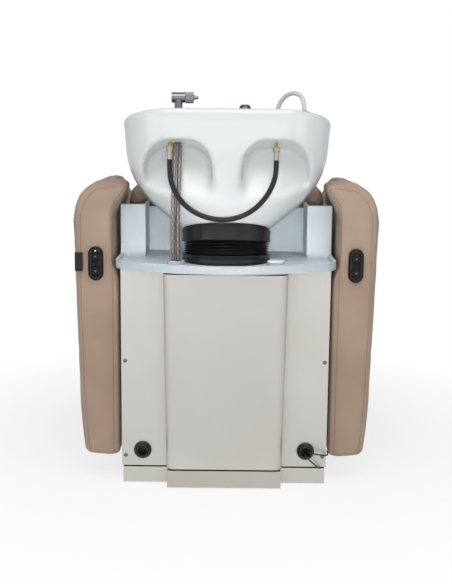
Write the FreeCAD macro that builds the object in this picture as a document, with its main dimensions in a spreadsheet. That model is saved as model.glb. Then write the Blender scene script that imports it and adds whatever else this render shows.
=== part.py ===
import FreeCAD, Part
import math
import operator
import os
import Sketcher
from FreeCAD import Placement, Rotation, Vector

# Salon backwash unit: a tilting ceramic basin over a steel cabinet, with a padded seat between padded arms.
# Frame: X to the right seen from the hairdresser's side, -Y towards the hairdresser, Z up from the floor.
# Sizes are in millimetres and degrees. "Behind" is towards -Y, "ahead" towards +Y, the client's feet.

SIZES = {
    # overall
    "unit_depth": 1175, "tray_overhang": 115, "soft_gap": 2,
    # base frame of square tube on levelling feet
    "frame_tube": 40, "tube_wall": 3, "foot_clearance": 30, "foot_radius": 24, "foot_pad_height": 10,
    "foot_stem_radius": 5, "rail_gauge": 400, "post_centre": 54, "front_post_setback": 182,
    "tab_length": 60, "tab_width": 46, "tab_thickness": 5, "bolt_hole_radius": 5.5,
    # cabinet sheet metal
    "cabinet_half_width": 270, "panel_sheet": 1.5, "panel_bottom": 50, "panel_top_gap": 4,
    "panel_return": 70,
    "cover_half_bottom": 151, "cover_half_top": 157, "cover_bottom": 55, "cover_proud_bottom": 45,
    "cover_proud_top": 90, "cover_edge_radius": 22, "cover_sheet": 2, "cover_gap": 2,
    "plinth_height": 45, "plinth_floor_gap": 3, "plinth_sheet": 2, "plinth_recess": 3,
    "centre_plinth_height": 49, "centre_plinth_half": 149, "centre_plinth_proud": 38,
    "screw_inset": 10, "screw_low": 78, "screw_high": 334, "screw_head_radius": 4, "screw_head_height": 2,
    "screw_shank_radius": 2, "screw_shank_length": 8, "screw_clearance": 0.2,
    "grommet_inset": 55, "grommet_z": 93, "grommet_radius": 23, "grommet_bore": 12, "grommet_proud": 14,
    "grommet_neck_radius": 17, "grommet_neck_length": 8, "lead_radius": 2,
    # tray
    "tray_floor": 592, "tray_wall": 5, "lip_rise": 8, "lip_drop": 13, "lip_width": 9, "lip_sagitta": 97,
    "outer_upright_y": 135, "outer_upright_top": 731, "inner_upright_y": 262, "inner_upright_half": 217,
    "inner_upright_top": 715, "cove_radius": 27, "well_radius": 84,
    "collar_x": 126, "collar_y": -40, "collar_radius": 22, "collar_bore": 17, "collar_rise": 12,
    # basin, in its own frame: tilted, origin on the tilt axis
    "tilt_axis_y": 54, "tilt_axis_z": 650, "basin_tilt": 14, "foot_above_axis": 25,
    "basin_height": 265, "foot_ring_radius": 112,
    "belly_height": 44, "belly_half": 165, "belly_back": 132, "belly_front": 138,
    "flank_height": 103, "flank_half": 226, "flank_back": 171, "flank_front": 186,
    "apron_height": 189, "apron_half": 257, "apron_back": 208, "apron_front": 300,
    "rim_half": 266, "rim_back": 214, "rim_front": 330, "rim_round": 9,
    "belly_corner": 118, "flank_corner": 138, "rim_corner": 145, "front_corner": 190,
    "corner_ease": 2, "bowl_wall": 16, "flank_wall": 24, "rim_width": 28, "deck_depth": 114, "front_rim": 40,
    "bowl_floor": 38, "bowl_floor_half": 74, "bowl_floor_back": 55, "bowl_floor_front": 76,
    "recess_inner": 37, "recess_outer": 207, "recess_corner": 62, "recess_back": 112, "recess_foot": 46,
    "neck_radius": 92, "neck_depth": 66, "neck_rest_wall": 15, "neck_rest_length": 64, "neck_gap": 1,
    "waste_radius": 21, "waste_gap": 0.5, "strainer_radius": 30, "strainer_lip": 3, "drain_radius": 20,
    # tilting bellows
    "bellows_radius": 112, "bellows_fold": 13, "bellows_folds": 4, "bellows_wall": 3, "bellows_band": 15,
    # tilt hinge
    "ear_thickness": 6, "ear_offset": 62, "ear_radius": 14, "ear_gap": 0.5, "tilt_pin_radius": 6,
    "pin_clearance": 0.05, "tilt_plate_thickness": 8,
    # taps and hoses on the basin
    "mixer_x": -121, "deck_line": -152, "mixer_column_radius": 10, "mixer_flange_radius": 19,
    "mixer_rise": 40,
    "mixer_shank_radius": 9, "shank_gap": 1, "mixer_body_radius": 13, "mixer_body_length": 34,
    "knob_radius": 14,
    "knob_length": 20, "knob_ribs": 24, "knob_rib_depth": 1, "knob_gap": 0.5, "spindle_radius": 5,
    "knob_tip_radius": 6,
    "knob_tip_length": 12,
    "spray_guide_x": 190, "spray_guide_radius": 13, "spray_guide_height": 8, "spray_hose_radius": 5.5,
    "spray_x": 45, "spray_line": -82, "spray_grip_radius": 11, "spray_grip_length": 78,
    "spray_cap_radius": 18,
    "spray_cap_height": 26, "holder_height": 14, "holder_wall": 5, "holder_gap": 0.4,
    "holder_arm_width": 22,
    "link_left_x": -140, "link_right_x": 121, "link_line": -168, "link_hose_radius": 6.5,
    "supply_hose_radius": 5.5, "hose_lead": 26, "fitting_radius": 8, "fitting_length": 44,
    # upholstery
    "arm_gap": 15, "arm_width": 105, "arm_taper": 30, "arm_back": 20, "arm_top": 803, "arm_bottom": 64,
    "arm_setback": 105, "arm_front_top": 640, "arm_slope_start": 300, "arm_chamfer_width": 62,
    "arm_chamfer_drop": 74, "arm_round": 14, "arm_crown": 10, "arm_front_round": 70,
    "arm_side_crown": 6, "arm_back_round": 45, "wing_radius": 30, "wing_reach": 40, "wing_length": 120,
    "wing_round": 24,
    "seat_bottom": 330, "seat_thickness": 110, "seat_back": 440, "seat_setback": 95, "seat_crown": 14,
    "seat_board_thickness": 12, "pad_edge": 24, "pad_draw": 6, "pad_corner": 40,
    "back_lean": 25, "back_foot_y": 452, "back_foot_z": 452, "back_length": 330, "back_thickness": 90,
    "back_crown": 12, "back_board_thickness": 15, "back_cut_half": 206, "back_cut_depth": 82,
    "back_cut_corner": 60,
    "legrest_axis_z": 325, "legrest_top": 303, "legrest_bottom": 78,
    "legrest_half": 272, "legrest_board_thickness": 15, "legrest_pad_thickness": 68, "legrest_crown": 10,
    "hinge_plate_thickness": 8, "hinge_eye_radius": 16, "hinge_pin_radius": 6, "hinge_gap": 1,
    # leg rest actuator
    "motor_setback": 360, "motor_pivot_z": 120, "drive_drop": 53, "drive_setback": 24,
    "motor_tube_radius": 22,
    "motor_tube_length": 190, "motor_tube_start": 30, "rod_radius": 10, "rod_inside": 95, "fork_gap": 1,
    "fork_reach": 22, "lug_thickness": 10, "lug_radius": 13, "drive_pin_radius": 6,
    # handsets and controls
    "handset_x": 335, "handset_z": 587, "handset_half_width": 19.5, "handset_half_height": 44,
    "handset_proud": 14, "button_radius": 11.5, "button_pitch": 38, "button_proud": 2.5, "button_gap": 0.3,
    "button_travel": 1.5, "button_depth": 6,
    "tag_height": 49, "tag_length": 18, "tag_thickness": 2, "tag_z": 590,
}


class Size:
    """A length or an angle that keeps its formula, for bound properties, beside its present value."""

    def __init__(self, formula, value):
        self.formula = formula
        self.value = float(value)

    def __float__(self):
        return self.value

    def __add__(self, other):
        return joined(self, "+", other)

    def __radd__(self, other):
        return joined(other, "+", self)

    def __sub__(self, other):
        return joined(self, "-", other)

    def __rsub__(self, other):
        return joined(other, "-", self)

    def __mul__(self, other):
        return joined(self, "*", other)

    def __rmul__(self, other):
        return joined(other, "*", self)

    def __truediv__(self, other):
        return joined(self, "/", other)

    def __neg__(self):
        return joined(0, "-", self)


SIGNS = {"+": operator.add, "-": operator.sub, "*": operator.mul, "/": operator.truediv}


def as_size(item):
    """Give a plain number a formula, and leave a size as it is."""
    return item if isinstance(item, Size) else Size(f"({float(item)})", item)


def joined(first, sign, second):
    """Combine two sizes, or a size and a plain number."""
    left, right = as_size(first), as_size(second)
    return Size(f"({left.formula} {sign} {right.formula})", SIGNS[sign](left.value, right.value))


class Sheet:
    """The sheet of driving dimensions, read as sheet.alias."""

    def __init__(self, document, table):
        self.cells = document.addObject("Spreadsheet::Sheet", "Sizes")
        for row, (alias, number) in enumerate(table.items(), start=1):
            self.cells.set(f"A{row}", alias.replace("_", " "))
            self.cells.set(f"B{row}", str(number))
            self.cells.setAlias(f"B{row}", alias)
        document.recompute()

    def __getattr__(self, alias):
        return Size(f"Sizes.{alias}", getattr(self.cells, alias))


doc = FreeCAD.newDocument("backwash_unit")
S = Sheet(doc, SIZES)
nodes = {}
SIDES = {"left": -1, "right": 1}

# Places that several sub-parts share
panel_y = S.tray_overhang - S.unit_depth / 2
rail_x = S.rail_gauge / 2
half_tube = S.frame_tube / 2
rail_top = S.foot_clearance + S.frame_tube
post_y = panel_y + S.post_centre
front_y = S.unit_depth / 2
front_post_y = front_y - S.front_post_setback
screw_x = S.cabinet_half_width - S.screw_inset
grommet_x = S.cabinet_half_width - S.grommet_inset
arm_inner = S.cabinet_half_width + S.arm_gap
seat_rail_top = S.seat_bottom - S.seat_board_thickness
tray_under = S.tray_floor - S.tray_wall
lip_bottom = S.tray_floor - S.lip_drop
plate_top = tray_under
top_rail_top = plate_top - S.tilt_plate_thickness
panel_top = lip_bottom - S.panel_top_gap
axis_y = panel_y + S.tilt_axis_y


def keep(label, item):
    """Name a sub-part's node."""
    item.Label = label
    nodes[label] = item
    return item


def bind(item, **sizes):
    """Bind an object's properties to formulas of the sheet."""
    for name, size in sizes.items():
        item.setExpression(name, as_size(size).formula)
    return item


def place(item, x=0, y=0, z=0, turn=None):
    """Turn an object and bind its place."""
    if turn is not None:
        item.Placement = Placement(Vector(), turn)
    for axis, size in zip("xyz", (x, y, z)):
        item.setExpression(f"Placement.Base.{axis}", as_size(size).formula)
    return item


ALONG_X = Rotation(Vector(0, 1, 0), 90)
ALONG_Y = Rotation(Vector(1, 0, 0), -90)
ALONG_Z = Rotation()
BACKWARDS = Rotation(Vector(1, 0, 0), 90)


def box(name, x, y, z, length, width, height):
    """A block from its low corner and its extents."""
    block = doc.addObject("Part::Box", name)
    bind(block, Length=length, Width=width, Height=height)
    return place(block, x, y, z)


def rod(name, radius, length, x, y, z, turn=ALONG_Z):
    """A round bar from the middle of its first end."""
    bar = doc.addObject("Part::Cylinder", name)
    bind(bar, Radius=radius, Height=length)
    return place(bar, x, y, z, turn)


def fused(name, *items):
    """One solid, or a group of separate ones, from several objects."""
    union = doc.addObject("Part::MultiFuse", name)
    union.Shapes = list(items)
    return union


def cut(name, base, *tools):
    """An object less its tools."""
    less = doc.addObject("Part::Cut", name)
    less.Base = base
    less.Tool = tools[0] if len(tools) == 1 else fused(name + "_tools", *tools)
    return less


def square_tube(name, x, y, z, length, width, height, along):
    """A square steel tube, open along one axis."""
    lows, spans = [x, y, z], [length, width, height]
    bore_lows = [low if axis == along else low + S.tube_wall for axis, low in zip("xyz", lows)]
    bore_spans = [span if axis == along else span - 2 * S.tube_wall for axis, span in zip("xyz", spans)]
    return cut(name, box(name + "_outer", *lows, *spans), box(name + "_bore", *bore_lows, *bore_spans))


def group(label, *items):
    """Several alike pieces as separate solids of one node."""
    return keep(label, fused(label, *items))


def bare_body(name):
    """An empty body that is a step towards a node."""
    return doc.addObject("PartDesign::Body", name)


def new_body(label):
    """An empty body that will be a node."""
    return keep(label, bare_body(label))


def plane_of(body, role):
    """One of a body's own origin planes."""
    return next(plane for plane in body.Origin.OriginFeatures if plane.Role == role)


def add_outline(sketch, corners):
    """Draw a closed outline whose corners are bound to formulas.

    A corner is (x, y) where a straight side follows, or (x, y, radius) where an arc of that radius follows,
    bulging to the left of the way on if the radius is positive.
    """
    points = [Vector(float(corner[0]), float(corner[1]), 0) for corner in corners]
    ends = []
    for index, corner in enumerate(corners):
        start, stop = points[index], points[(index + 1) % len(points)]
        if len(corner) == 2:
            side = sketch.addGeometry(Part.LineSegment(start, stop), False)
            ends.append((side, 1, 2))
            continue
        radius = abs(float(corner[2]))
        chord = stop - start
        left = Vector(-chord.y, chord.x, 0).normalize() * math.copysign(1, float(corner[2]))
        rise = radius - math.sqrt(radius ** 2 - chord.Length ** 2 / 4)
        side = sketch.addGeometry(Part.Arc(start, (start + stop) / 2 + left * rise, stop), False)
        near, far = sketch.getPoint(side, 1), sketch.getPoint(side, 2)
        forward = near.distanceToPoint(start) < far.distanceToPoint(start)
        ends.append((side, 1, 2) if forward else (side, 2, 1))
        bound = sketch.addConstraint(Sketcher.Constraint("Radius", side, radius))
        size = corner[2] if float(corner[2]) > 0 else -corner[2]
        sketch.setExpression(f"Constraints[{bound}]", as_size(size).formula)
    for index, (side, first, last) in enumerate(ends):
        after, after_first, unused = ends[(index + 1) % len(ends)]
        sketch.addConstraint(Sketcher.Constraint("Coincident", side, last, after, after_first))
        for kind, size, value in (("DistanceX", corners[index][0], points[index].x),
                                  ("DistanceY", corners[index][1], points[index].y)):
            bound = sketch.addConstraint(Sketcher.Constraint(kind, -1, 1, side, first, value))
            sketch.setExpression(f"Constraints[{bound}]", as_size(size).formula)


def sketch_on(body, role, name, height=0):
    """An empty sketch on a body's origin plane, moved along the plane's normal."""
    sketch = body.newObject("Sketcher::SketchObject", name)
    sketch.AttachmentSupport = (plane_of(body, role), [""])
    sketch.MapMode = "FlatFace"
    if height:
        sketch.setExpression("AttachmentOffset.Base.z", as_size(height).formula)
    return sketch


def add_circle(sketch, x, y, radius):
    """Draw a circle whose centre and radius are bound to formulas."""
    ring = sketch.addGeometry(Part.Circle(Vector(float(x), float(y), 0), Vector(0, 0, 1),
                                          float(radius)), False)
    for kind, size in (("DistanceX", x), ("DistanceY", y)):
        bound = sketch.addConstraint(Sketcher.Constraint(kind, -1, 1, ring, 3, float(size)))
        sketch.setExpression(f"Constraints[{bound}]", as_size(size).formula)
    bound = sketch.addConstraint(Sketcher.Constraint("Radius", ring, float(radius)))
    sketch.setExpression(f"Constraints[{bound}]", as_size(radius).formula)


def pad(body, role, name, outlines, length, height=0, circles=()):
    """Pad closed outlines and circles from an origin plane of a body."""
    sketch = sketch_on(body, role, name + "_sketch", height)
    for outline in outlines:
        add_outline(sketch, outline)
    for circle in circles:
        add_circle(sketch, *circle)
    feature = body.newObject("PartDesign::Pad", name)
    feature.Profile = sketch
    bind(feature, Length=length)
    return feature


def drill(body, role, name, circles):
    """Cut round holes right through a body, both ways from an origin plane."""
    sketch = sketch_on(body, role, name + "_sketch")
    for circle in circles:
        add_circle(sketch, *circle)
    doc.recompute()
    before = body.Shape.Volume
    feature = body.newObject("PartDesign::Pocket", name)
    feature.Profile = sketch
    feature.Type = "ThroughAll"
    feature.Midplane = True
    doc.recompute()
    if body.Shape.Volume >= before:
        raise RuntimeError(f"{name} cuts nothing from {body.Label}")
    return feature


def soften(body, name, radius, wanted):
    """Round the edges of a body's last feature that pass a test."""
    doc.recompute()
    base = body.Tip
    chosen = [f"Edge{number}" for number, edge in enumerate(base.Shape.Edges, start=1) if wanted(edge)]
    feature = body.newObject("PartDesign::Fillet", name)
    feature.Base = (base, chosen)
    bind(feature, Radius=radius)
    return feature


def formed(label, shape, placement=None):
    """A sub-part whose shape comes from curves that no single feature makes."""
    item = doc.addObject("Part::Feature", label)
    item.Shape = shape
    if placement is not None:
        item.Placement = placement
    return keep(label, item)


def root(size):
    """The square root of a size."""
    return Size(f"sqrt({size.formula})", math.sqrt(size.value))


def sine(size):
    """The sine of an angle in degrees."""
    return Size(f"sin({size.formula} * 1 deg)", math.sin(math.radians(size.value)))


def cosine(size):
    """The cosine of an angle in degrees."""
    return Size(f"cos({size.formula} * 1 deg)", math.cos(math.radians(size.value)))


def turned(name, profile, x=0, y=0, z=0, turn=ALONG_Z):
    """A round piece from half its section, drawn as (radius, height), about an axis through its place."""
    body = bare_body(name)
    sketch = sketch_on(body, "XZ_Plane", name + "_section")
    add_outline(sketch, profile)
    feature = body.newObject("PartDesign::Revolution", name + "_turn")
    feature.Profile = sketch
    feature.ReferenceAxis = (sketch, ["V_Axis"])
    feature.Angle = 360
    return place(body, x, y, z, turn)


def rectangle(left, right, low, high):
    """The corners of an upright rectangle."""
    return [(left, low), (right, low), (right, high), (left, high)]


# Base frame of square tubes
rear_face = post_y - half_tube
rail_length = front_post_y - post_y + S.frame_tube
inner_gauge = S.rail_gauge - S.frame_tube
tube = S.frame_tube
tubes = {"side_rails": [], "posts": [], "top_rails": [], "front_posts": [], "seat_rails": [],
         "cross_rails": []}
for side, sign in SIDES.items():
    low_x = sign * rail_x - half_tube
    tubes["side_rails"].append(square_tube(f"side_rail_{side}", low_x, rear_face, S.foot_clearance,
                                           tube, rail_length, tube, "y"))
    tubes["posts"].append(square_tube(f"post_{side}", low_x, rear_face, rail_top,
                                      tube, tube, top_rail_top - tube - rail_top, "z"))
    tubes["top_rails"].append(square_tube(f"top_rail_{side}", low_x, panel_y + S.panel_sheet,
                                          top_rail_top - tube,
                                          tube, S.inner_upright_y - S.panel_sheet, tube, "y"))
    tubes["front_posts"].append(square_tube(f"front_post_{side}", low_x, front_post_y - half_tube, rail_top,
                                            tube, tube, seat_rail_top - tube - rail_top, "z"))
    tubes["seat_rails"].append(square_tube(f"seat_rail_{side}", low_x, post_y + half_tube,
                                           seat_rail_top - tube,
                                           tube, rail_length - tube, tube, "y"))
motor_y = front_y - S.motor_setback
for name, rail_y in (("rear", post_y), ("motor", motor_y), ("front", front_post_y)):
    tubes["cross_rails"].append(square_tube(f"{name}_cross_rail", -inner_gauge / 2, rail_y - half_tube,
                                            S.foot_clearance, inner_gauge, tube, tube, "x"))
for label, lengths in tubes.items():
    group(label, *lengths)

# Levelling feet under the rails and angle tabs for floor bolts inside them
feet = []
tabs = []
tab_hole_x = inner_gauge / 2 - S.tab_width / 2
for side, sign in SIDES.items():
    for end, foot_y in (("rear", post_y), ("front", front_post_y)):
        name = f"{end}_{side}"
        pad_disc = rod(f"foot_pad_{name}", S.foot_radius, S.foot_pad_height, sign * rail_x, foot_y, 0)
        stem = rod(f"foot_stem_{name}", S.foot_stem_radius, S.foot_clearance - S.foot_pad_height,
                   sign * rail_x, foot_y, S.foot_pad_height)
        feet.append(fused(f"foot_{name}", pad_disc, stem))
        tab_y = foot_y + (1 if end == "rear" else -1) * (half_tube + S.tab_length / 2)
        low_x = sign * (inner_gauge / 2 - S.tab_width / 2) - S.tab_width / 2
        flat = box(f"tab_flat_{name}", low_x, tab_y - S.tab_length / 2, 0, S.tab_width, S.tab_length,
                   S.tab_thickness)
        upright_x = sign * (inner_gauge / 2 - S.tab_thickness / 2) - S.tab_thickness / 2
        upright = box(f"tab_upright_{name}", upright_x, tab_y - S.tab_length / 2, 0, S.tab_thickness,
                      S.tab_length,
                      rail_top - S.tab_thickness)
        hole = rod(f"tab_hole_{name}", S.bolt_hole_radius, S.tab_thickness, sign * tab_hole_x, tab_y, 0)
        tabs.append(cut(f"tab_{name}", fused(f"tab_angle_{name}", flat, upright), hole))
group("levelling_feet", *feet)
group("floor_tabs", *tabs)

# Sheet metal of the cabinet: two side panels, a leaning centre cover and three plinths
panel_inner = S.cover_half_bottom - S.panel_return / 3
grommets = []
plinths = []
grommet_hole = S.grommet_neck_radius + S.screw_clearance
screw_hole = S.screw_shank_radius + S.screw_clearance
for side, sign in SIDES.items():
    panel = new_body(f"side_panel_{side}")
    edge = sign * S.cabinet_half_width
    skin = sign * (S.cabinet_half_width - S.panel_sheet)
    fold = [(sign * panel_inner, panel_y), (edge, panel_y), (edge, panel_y + S.panel_return),
            (skin, panel_y + S.panel_return), (skin, panel_y + S.panel_sheet),
            (sign * panel_inner, panel_y + S.panel_sheet)]
    pad(panel, "XY_Plane", f"panel_fold_{side}", [fold], panel_top - S.panel_bottom, S.panel_bottom)
    drill(panel, "XZ_Plane", f"panel_holes_{side}",
          [(sign * grommet_x, S.grommet_z, grommet_hole),
           (sign * screw_x, S.screw_low, screw_hole), (sign * screw_x, S.screw_high, screw_hole)])

    plinth = bare_body(f"plinth_{side}")
    plinths.append(plinth)
    plinth_y = panel_y + S.plinth_recess
    edge = sign * (S.cabinet_half_width - S.plinth_recess)
    skin = sign * (S.cabinet_half_width - S.plinth_recess - S.plinth_sheet)
    inner = sign * (S.centre_plinth_half - S.panel_return / 3)
    fold = [(inner, plinth_y), (edge, plinth_y), (edge, plinth_y + S.panel_return),
            (skin, plinth_y + S.panel_return),
            (skin, plinth_y + S.plinth_sheet), (inner, plinth_y + S.plinth_sheet)]
    pad(plinth, "XY_Plane", f"plinth_fold_{side}", [fold], S.plinth_height - S.plinth_floor_gap,
        S.plinth_floor_gap)

    section = [(S.grommet_bore, -S.grommet_neck_length), (S.grommet_neck_radius, -S.grommet_neck_length),
               (S.grommet_neck_radius, 0), (S.grommet_radius, 0), (S.grommet_radius, S.grommet_proud / 3),
               (S.grommet_bore + S.grommet_proud / 3, S.grommet_proud), (S.grommet_bore, S.grommet_proud)]
    grommets.append(turned(f"grommet_{side}", section, sign * grommet_x, panel_y, S.grommet_z, BACKWARDS))
group("side_plinths", *plinths)
group("grommets", *grommets)

centre_plinth = new_body("plinth_centre")
outer, inner = S.centre_plinth_half, S.centre_plinth_half - S.plinth_sheet
back = panel_y - S.centre_plinth_proud
channel = [(-outer, back), (outer, back), (outer, plinth_y), (inner, plinth_y),
           (inner, back + S.plinth_sheet),
           (-inner, back + S.plinth_sheet), (-inner, plinth_y), (-outer, plinth_y)]
pad(centre_plinth, "XY_Plane", "centre_plinth_fold", [channel], S.centre_plinth_height - S.plinth_floor_gap,
    S.plinth_floor_gap)

screws = []
for side, sign in SIDES.items():
    for height_name, screw_z in (("low", S.screw_low), ("high", S.screw_high)):
        name = f"{height_name}_{side}"
        head = rod(f"screw_head_{name}", S.screw_head_radius, S.screw_head_height, sign * screw_x,
                   panel_y - S.screw_head_height, screw_z, ALONG_Y)
        shank = rod(f"screw_shank_{name}", S.screw_shank_radius, S.screw_shank_length, sign * screw_x,
                    panel_y,
                    screw_z, ALONG_Y)
        screws.append(fused(f"screw_{name}", head, shank))
group("panel_screws", *screws)


def cover_section(half, proud, radius, front, z):
    """A level section of the centre cover: open ahead, with rounded corners behind."""
    h, r, rear = float(half), float(radius), float(panel_y - proud)
    bend = r * (1 - math.sqrt(0.5))
    right = [Vector(h - r, rear, z), Vector(h - bend, rear + bend, z), Vector(h, rear + r, z),
             Vector(h, front, z)]
    left = [Vector(-point.x, point.y, z) for point in right]
    edges = [Part.LineSegment(left[0], right[0]), Part.Arc(*right[:3]),
             Part.LineSegment(right[2], right[3]),
             Part.LineSegment(right[3], left[3]), Part.LineSegment(left[3], left[2]),
             Part.Arc(*left[2::-1])]
    return Part.Wire([edge.toShape() for edge in edges])


def cover_form(inset, front):
    """The leaning form of the centre cover, drawn in by a wall."""
    low, high = float(S.cover_bottom), float(panel_top)
    radius = S.cover_edge_radius - inset
    foot = cover_section(S.cover_half_bottom - inset, S.cover_proud_bottom - inset, radius, front, low)
    head = cover_section(S.cover_half_top - inset, S.cover_proud_top - inset, radius, front, high)
    return Part.makeLoft([foot, head], True, True)


cover_rear = float(panel_y)
formed("centre_cover", cover_form(0, cover_rear).cut(cover_form(S.cover_sheet,
                                                                cover_rear + float(S.cover_gap))))

# Tray: floor with a curved lip, coved uprights at the sides and a recessed upright between them
tray = new_body("tray")
width, wall, inner_half = arm_inner - S.soft_gap, S.tray_wall, S.inner_upright_half
upright_y, recess_y = panel_y + S.outer_upright_y, panel_y + S.inner_upright_y
lip_rear = panel_y - S.tray_overhang
lip_end = lip_rear + S.lip_sagitta
lip_radius = (width * width + S.lip_sagitta * S.lip_sagitta) / (2 * S.lip_sagitta)
band_radius = lip_radius - S.lip_width
band_half = width - S.lip_width
band_end = lip_rear + lip_radius - root(band_radius * band_radius - band_half * band_half)
floor_plan = [(-width, lip_end, -lip_radius), (width, lip_end), (width, upright_y + wall),
              (inner_half + wall, upright_y + wall), (inner_half + wall, recess_y + wall),
              (-inner_half - wall, recess_y + wall), (-inner_half - wall, upright_y + wall),
              (-width, upright_y + wall)]
pad(tray, "XY_Plane", "tray_floor_pad", [floor_plan], wall, tray_under)
band = [(-width, lip_end, -lip_radius), (width, lip_end), (width, upright_y), (band_half, upright_y),
        (band_half, band_end, band_radius), (-band_half, band_end), (-band_half, upright_y),
        (-width, upright_y)]
pad(tray, "XY_Plane", "tray_lip", [band], S.lip_rise + S.lip_drop, lip_bottom)
for side, sign in SIDES.items():
    step = [(sign * inner_half, upright_y), (sign * width, upright_y), (sign * width, upright_y + wall),
            (sign * (inner_half + wall), upright_y + wall), (sign * (inner_half + wall), recess_y + wall),
            (sign * inner_half, recess_y + wall)]
    pad(tray, "XY_Plane", f"tray_upright_{side}", [step], S.outer_upright_top - tray_under, tray_under)
    cove = [(upright_y, S.tray_floor), (upright_y, S.tray_floor + S.cove_radius, S.cove_radius),
            (upright_y - S.cove_radius, S.tray_floor)]
    pad(tray, "YZ_Plane", f"tray_cove_{side}", [cove], width - inner_half,
        inner_half if sign > 0 else -width)
pad(tray, "XY_Plane", "tray_inner_upright", [rectangle(-inner_half, inner_half, recess_y, recess_y + wall)],
    S.inner_upright_top - tray_under, tray_under)
collar_y = panel_y + S.collar_y
well_y = axis_y + S.foot_above_axis * sine(S.basin_tilt)
pad(tray, "XY_Plane", "tray_collars", [], S.collar_rise + wall, tray_under,
    [(-S.collar_x, collar_y, S.collar_radius), (S.collar_x, collar_y, S.collar_radius)])
drill(tray, "XY_Plane", "tray_holes",
      [(0, well_y, S.well_radius), (-S.collar_x, collar_y, S.collar_bore),
       (S.collar_x, collar_y, S.collar_bore)])
plug_radius = S.collar_bore - S.waste_gap
cap_section = [(0, -S.collar_rise), (plug_radius, -S.collar_rise), (plug_radius, 0), (S.collar_radius, 0),
               (S.collar_radius - S.strainer_lip, S.strainer_lip), (0, S.strainer_lip)]
keep("collar_cap", turned("collar_cap", cap_section, S.collar_x, collar_y, S.tray_floor + S.collar_rise))

# Tilt plate under the tray, with the fixed ears of the tilt hinge
tilt_plate = new_body("tilt_plate")
plate_half = rail_x + half_tube
pad(tilt_plate, "XY_Plane", "tilt_plate_pad",
    [rectangle(-plate_half, plate_half, post_y - S.collar_radius * 2, post_y + S.well_radius)],
    S.tilt_plate_thickness, top_rail_top)
drill(tilt_plate, "XY_Plane", "tilt_plate_hole",
      [(0, axis_y - S.ear_radius / 2, S.drain_radius + S.tube_wall * 4)])

ears = new_body("lower_tilt_bracket")
ear_inside = S.ear_offset - S.ear_gap - S.ear_thickness
ear_outline = [(axis_y - 2 * S.ear_radius, plate_top), (axis_y + 2 * S.ear_radius, plate_top),
               (axis_y + S.ear_radius, S.tilt_axis_z, -S.ear_radius),
               (axis_y, S.tilt_axis_z + S.ear_radius, -S.ear_radius),
               (axis_y - S.ear_radius, S.tilt_axis_z)]
foot_bar = rectangle(axis_y + 1.5 * S.ear_radius, axis_y + 2 * S.ear_radius, plate_top,
                     plate_top + S.ear_thickness)
pad(ears, "YZ_Plane", "lower_ear_bar", [foot_bar], 2 * (ear_inside + S.ear_thickness),
    -ear_inside - S.ear_thickness)
for name, start in (("left", -ear_inside - S.ear_thickness), ("right", ear_inside)):
    pad(ears, "YZ_Plane", f"lower_ear_{name}", [ear_outline], S.ear_thickness, start)
drill(ears, "YZ_Plane", "lower_ear_bores", [(axis_y, S.tilt_axis_z, S.tilt_pin_radius)])
pin_length = 2 * S.ear_thickness + S.ear_gap + 2 * S.strainer_lip
pins = [rod(f"tilt_pin_{side}", S.tilt_pin_radius, pin_length,
            sign * (ear_inside - S.strainer_lip + pin_length / 2) - pin_length / 2, axis_y,
            S.tilt_axis_z, ALONG_X)
        for side, sign in SIDES.items()]

# The basin's own frame: origin on the tilt axis, leaning back by the tilt
BASIN_TURN = Rotation(Vector(1, 0, 0), -float(S.basin_tilt))
basin_foot = S.foot_above_axis
deck = basin_foot + S.basin_height
ceiling = basin_foot + S.apron_height


def on_basin(item, x=0, y=0, z=0, turn=ALONG_Z):
    """Place a piece by its point in the basin's frame."""
    world_y = axis_y + y * cosine(S.basin_tilt) + z * sine(S.basin_tilt)
    world_z = S.tilt_axis_z - y * sine(S.basin_tilt) + z * cosine(S.basin_tilt)
    return place(item, x, world_y, world_z, BASIN_TURN.multiply(turn))


def in_world(x, y, z):
    """The point of the room where a point of the basin's frame lies."""
    return Vector(0, float(axis_y), float(S.tilt_axis_z)) + BASIN_TURN.multVec(Vector(float(x),
                                                                                      float(y), float(z)))


def ring_section(half, back, front, back_corner, front_corner, z):
    """A level outline of the basin: four sides joined by four quarter arcs."""
    half, back, front, z = float(half), float(back), float(front), float(z)
    low, high = float(back_corner), float(front_corner)
    slant = 1 - math.sqrt(0.5)
    right = [Vector(half - low, -back, z), Vector(half - low * slant, -back + low * slant, z),
             Vector(half, -back + low, z), Vector(half, front - high, z),
             Vector(half - high * slant, front - high * slant, z), Vector(half - high, front, z)]
    left = [Vector(-point.x, point.y, z) for point in reversed(right)]
    edges = [Part.Arc(*right[0:3]), Part.LineSegment(right[2], right[3]), Part.Arc(*right[3:6]),
             Part.LineSegment(right[5], left[0]), Part.Arc(*left[0:3]), Part.LineSegment(left[2], left[3]),
             Part.Arc(*left[3:6]), Part.LineSegment(left[5], right[0])]
    return Part.Wire([edge.toShape() for edge in edges])


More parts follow.
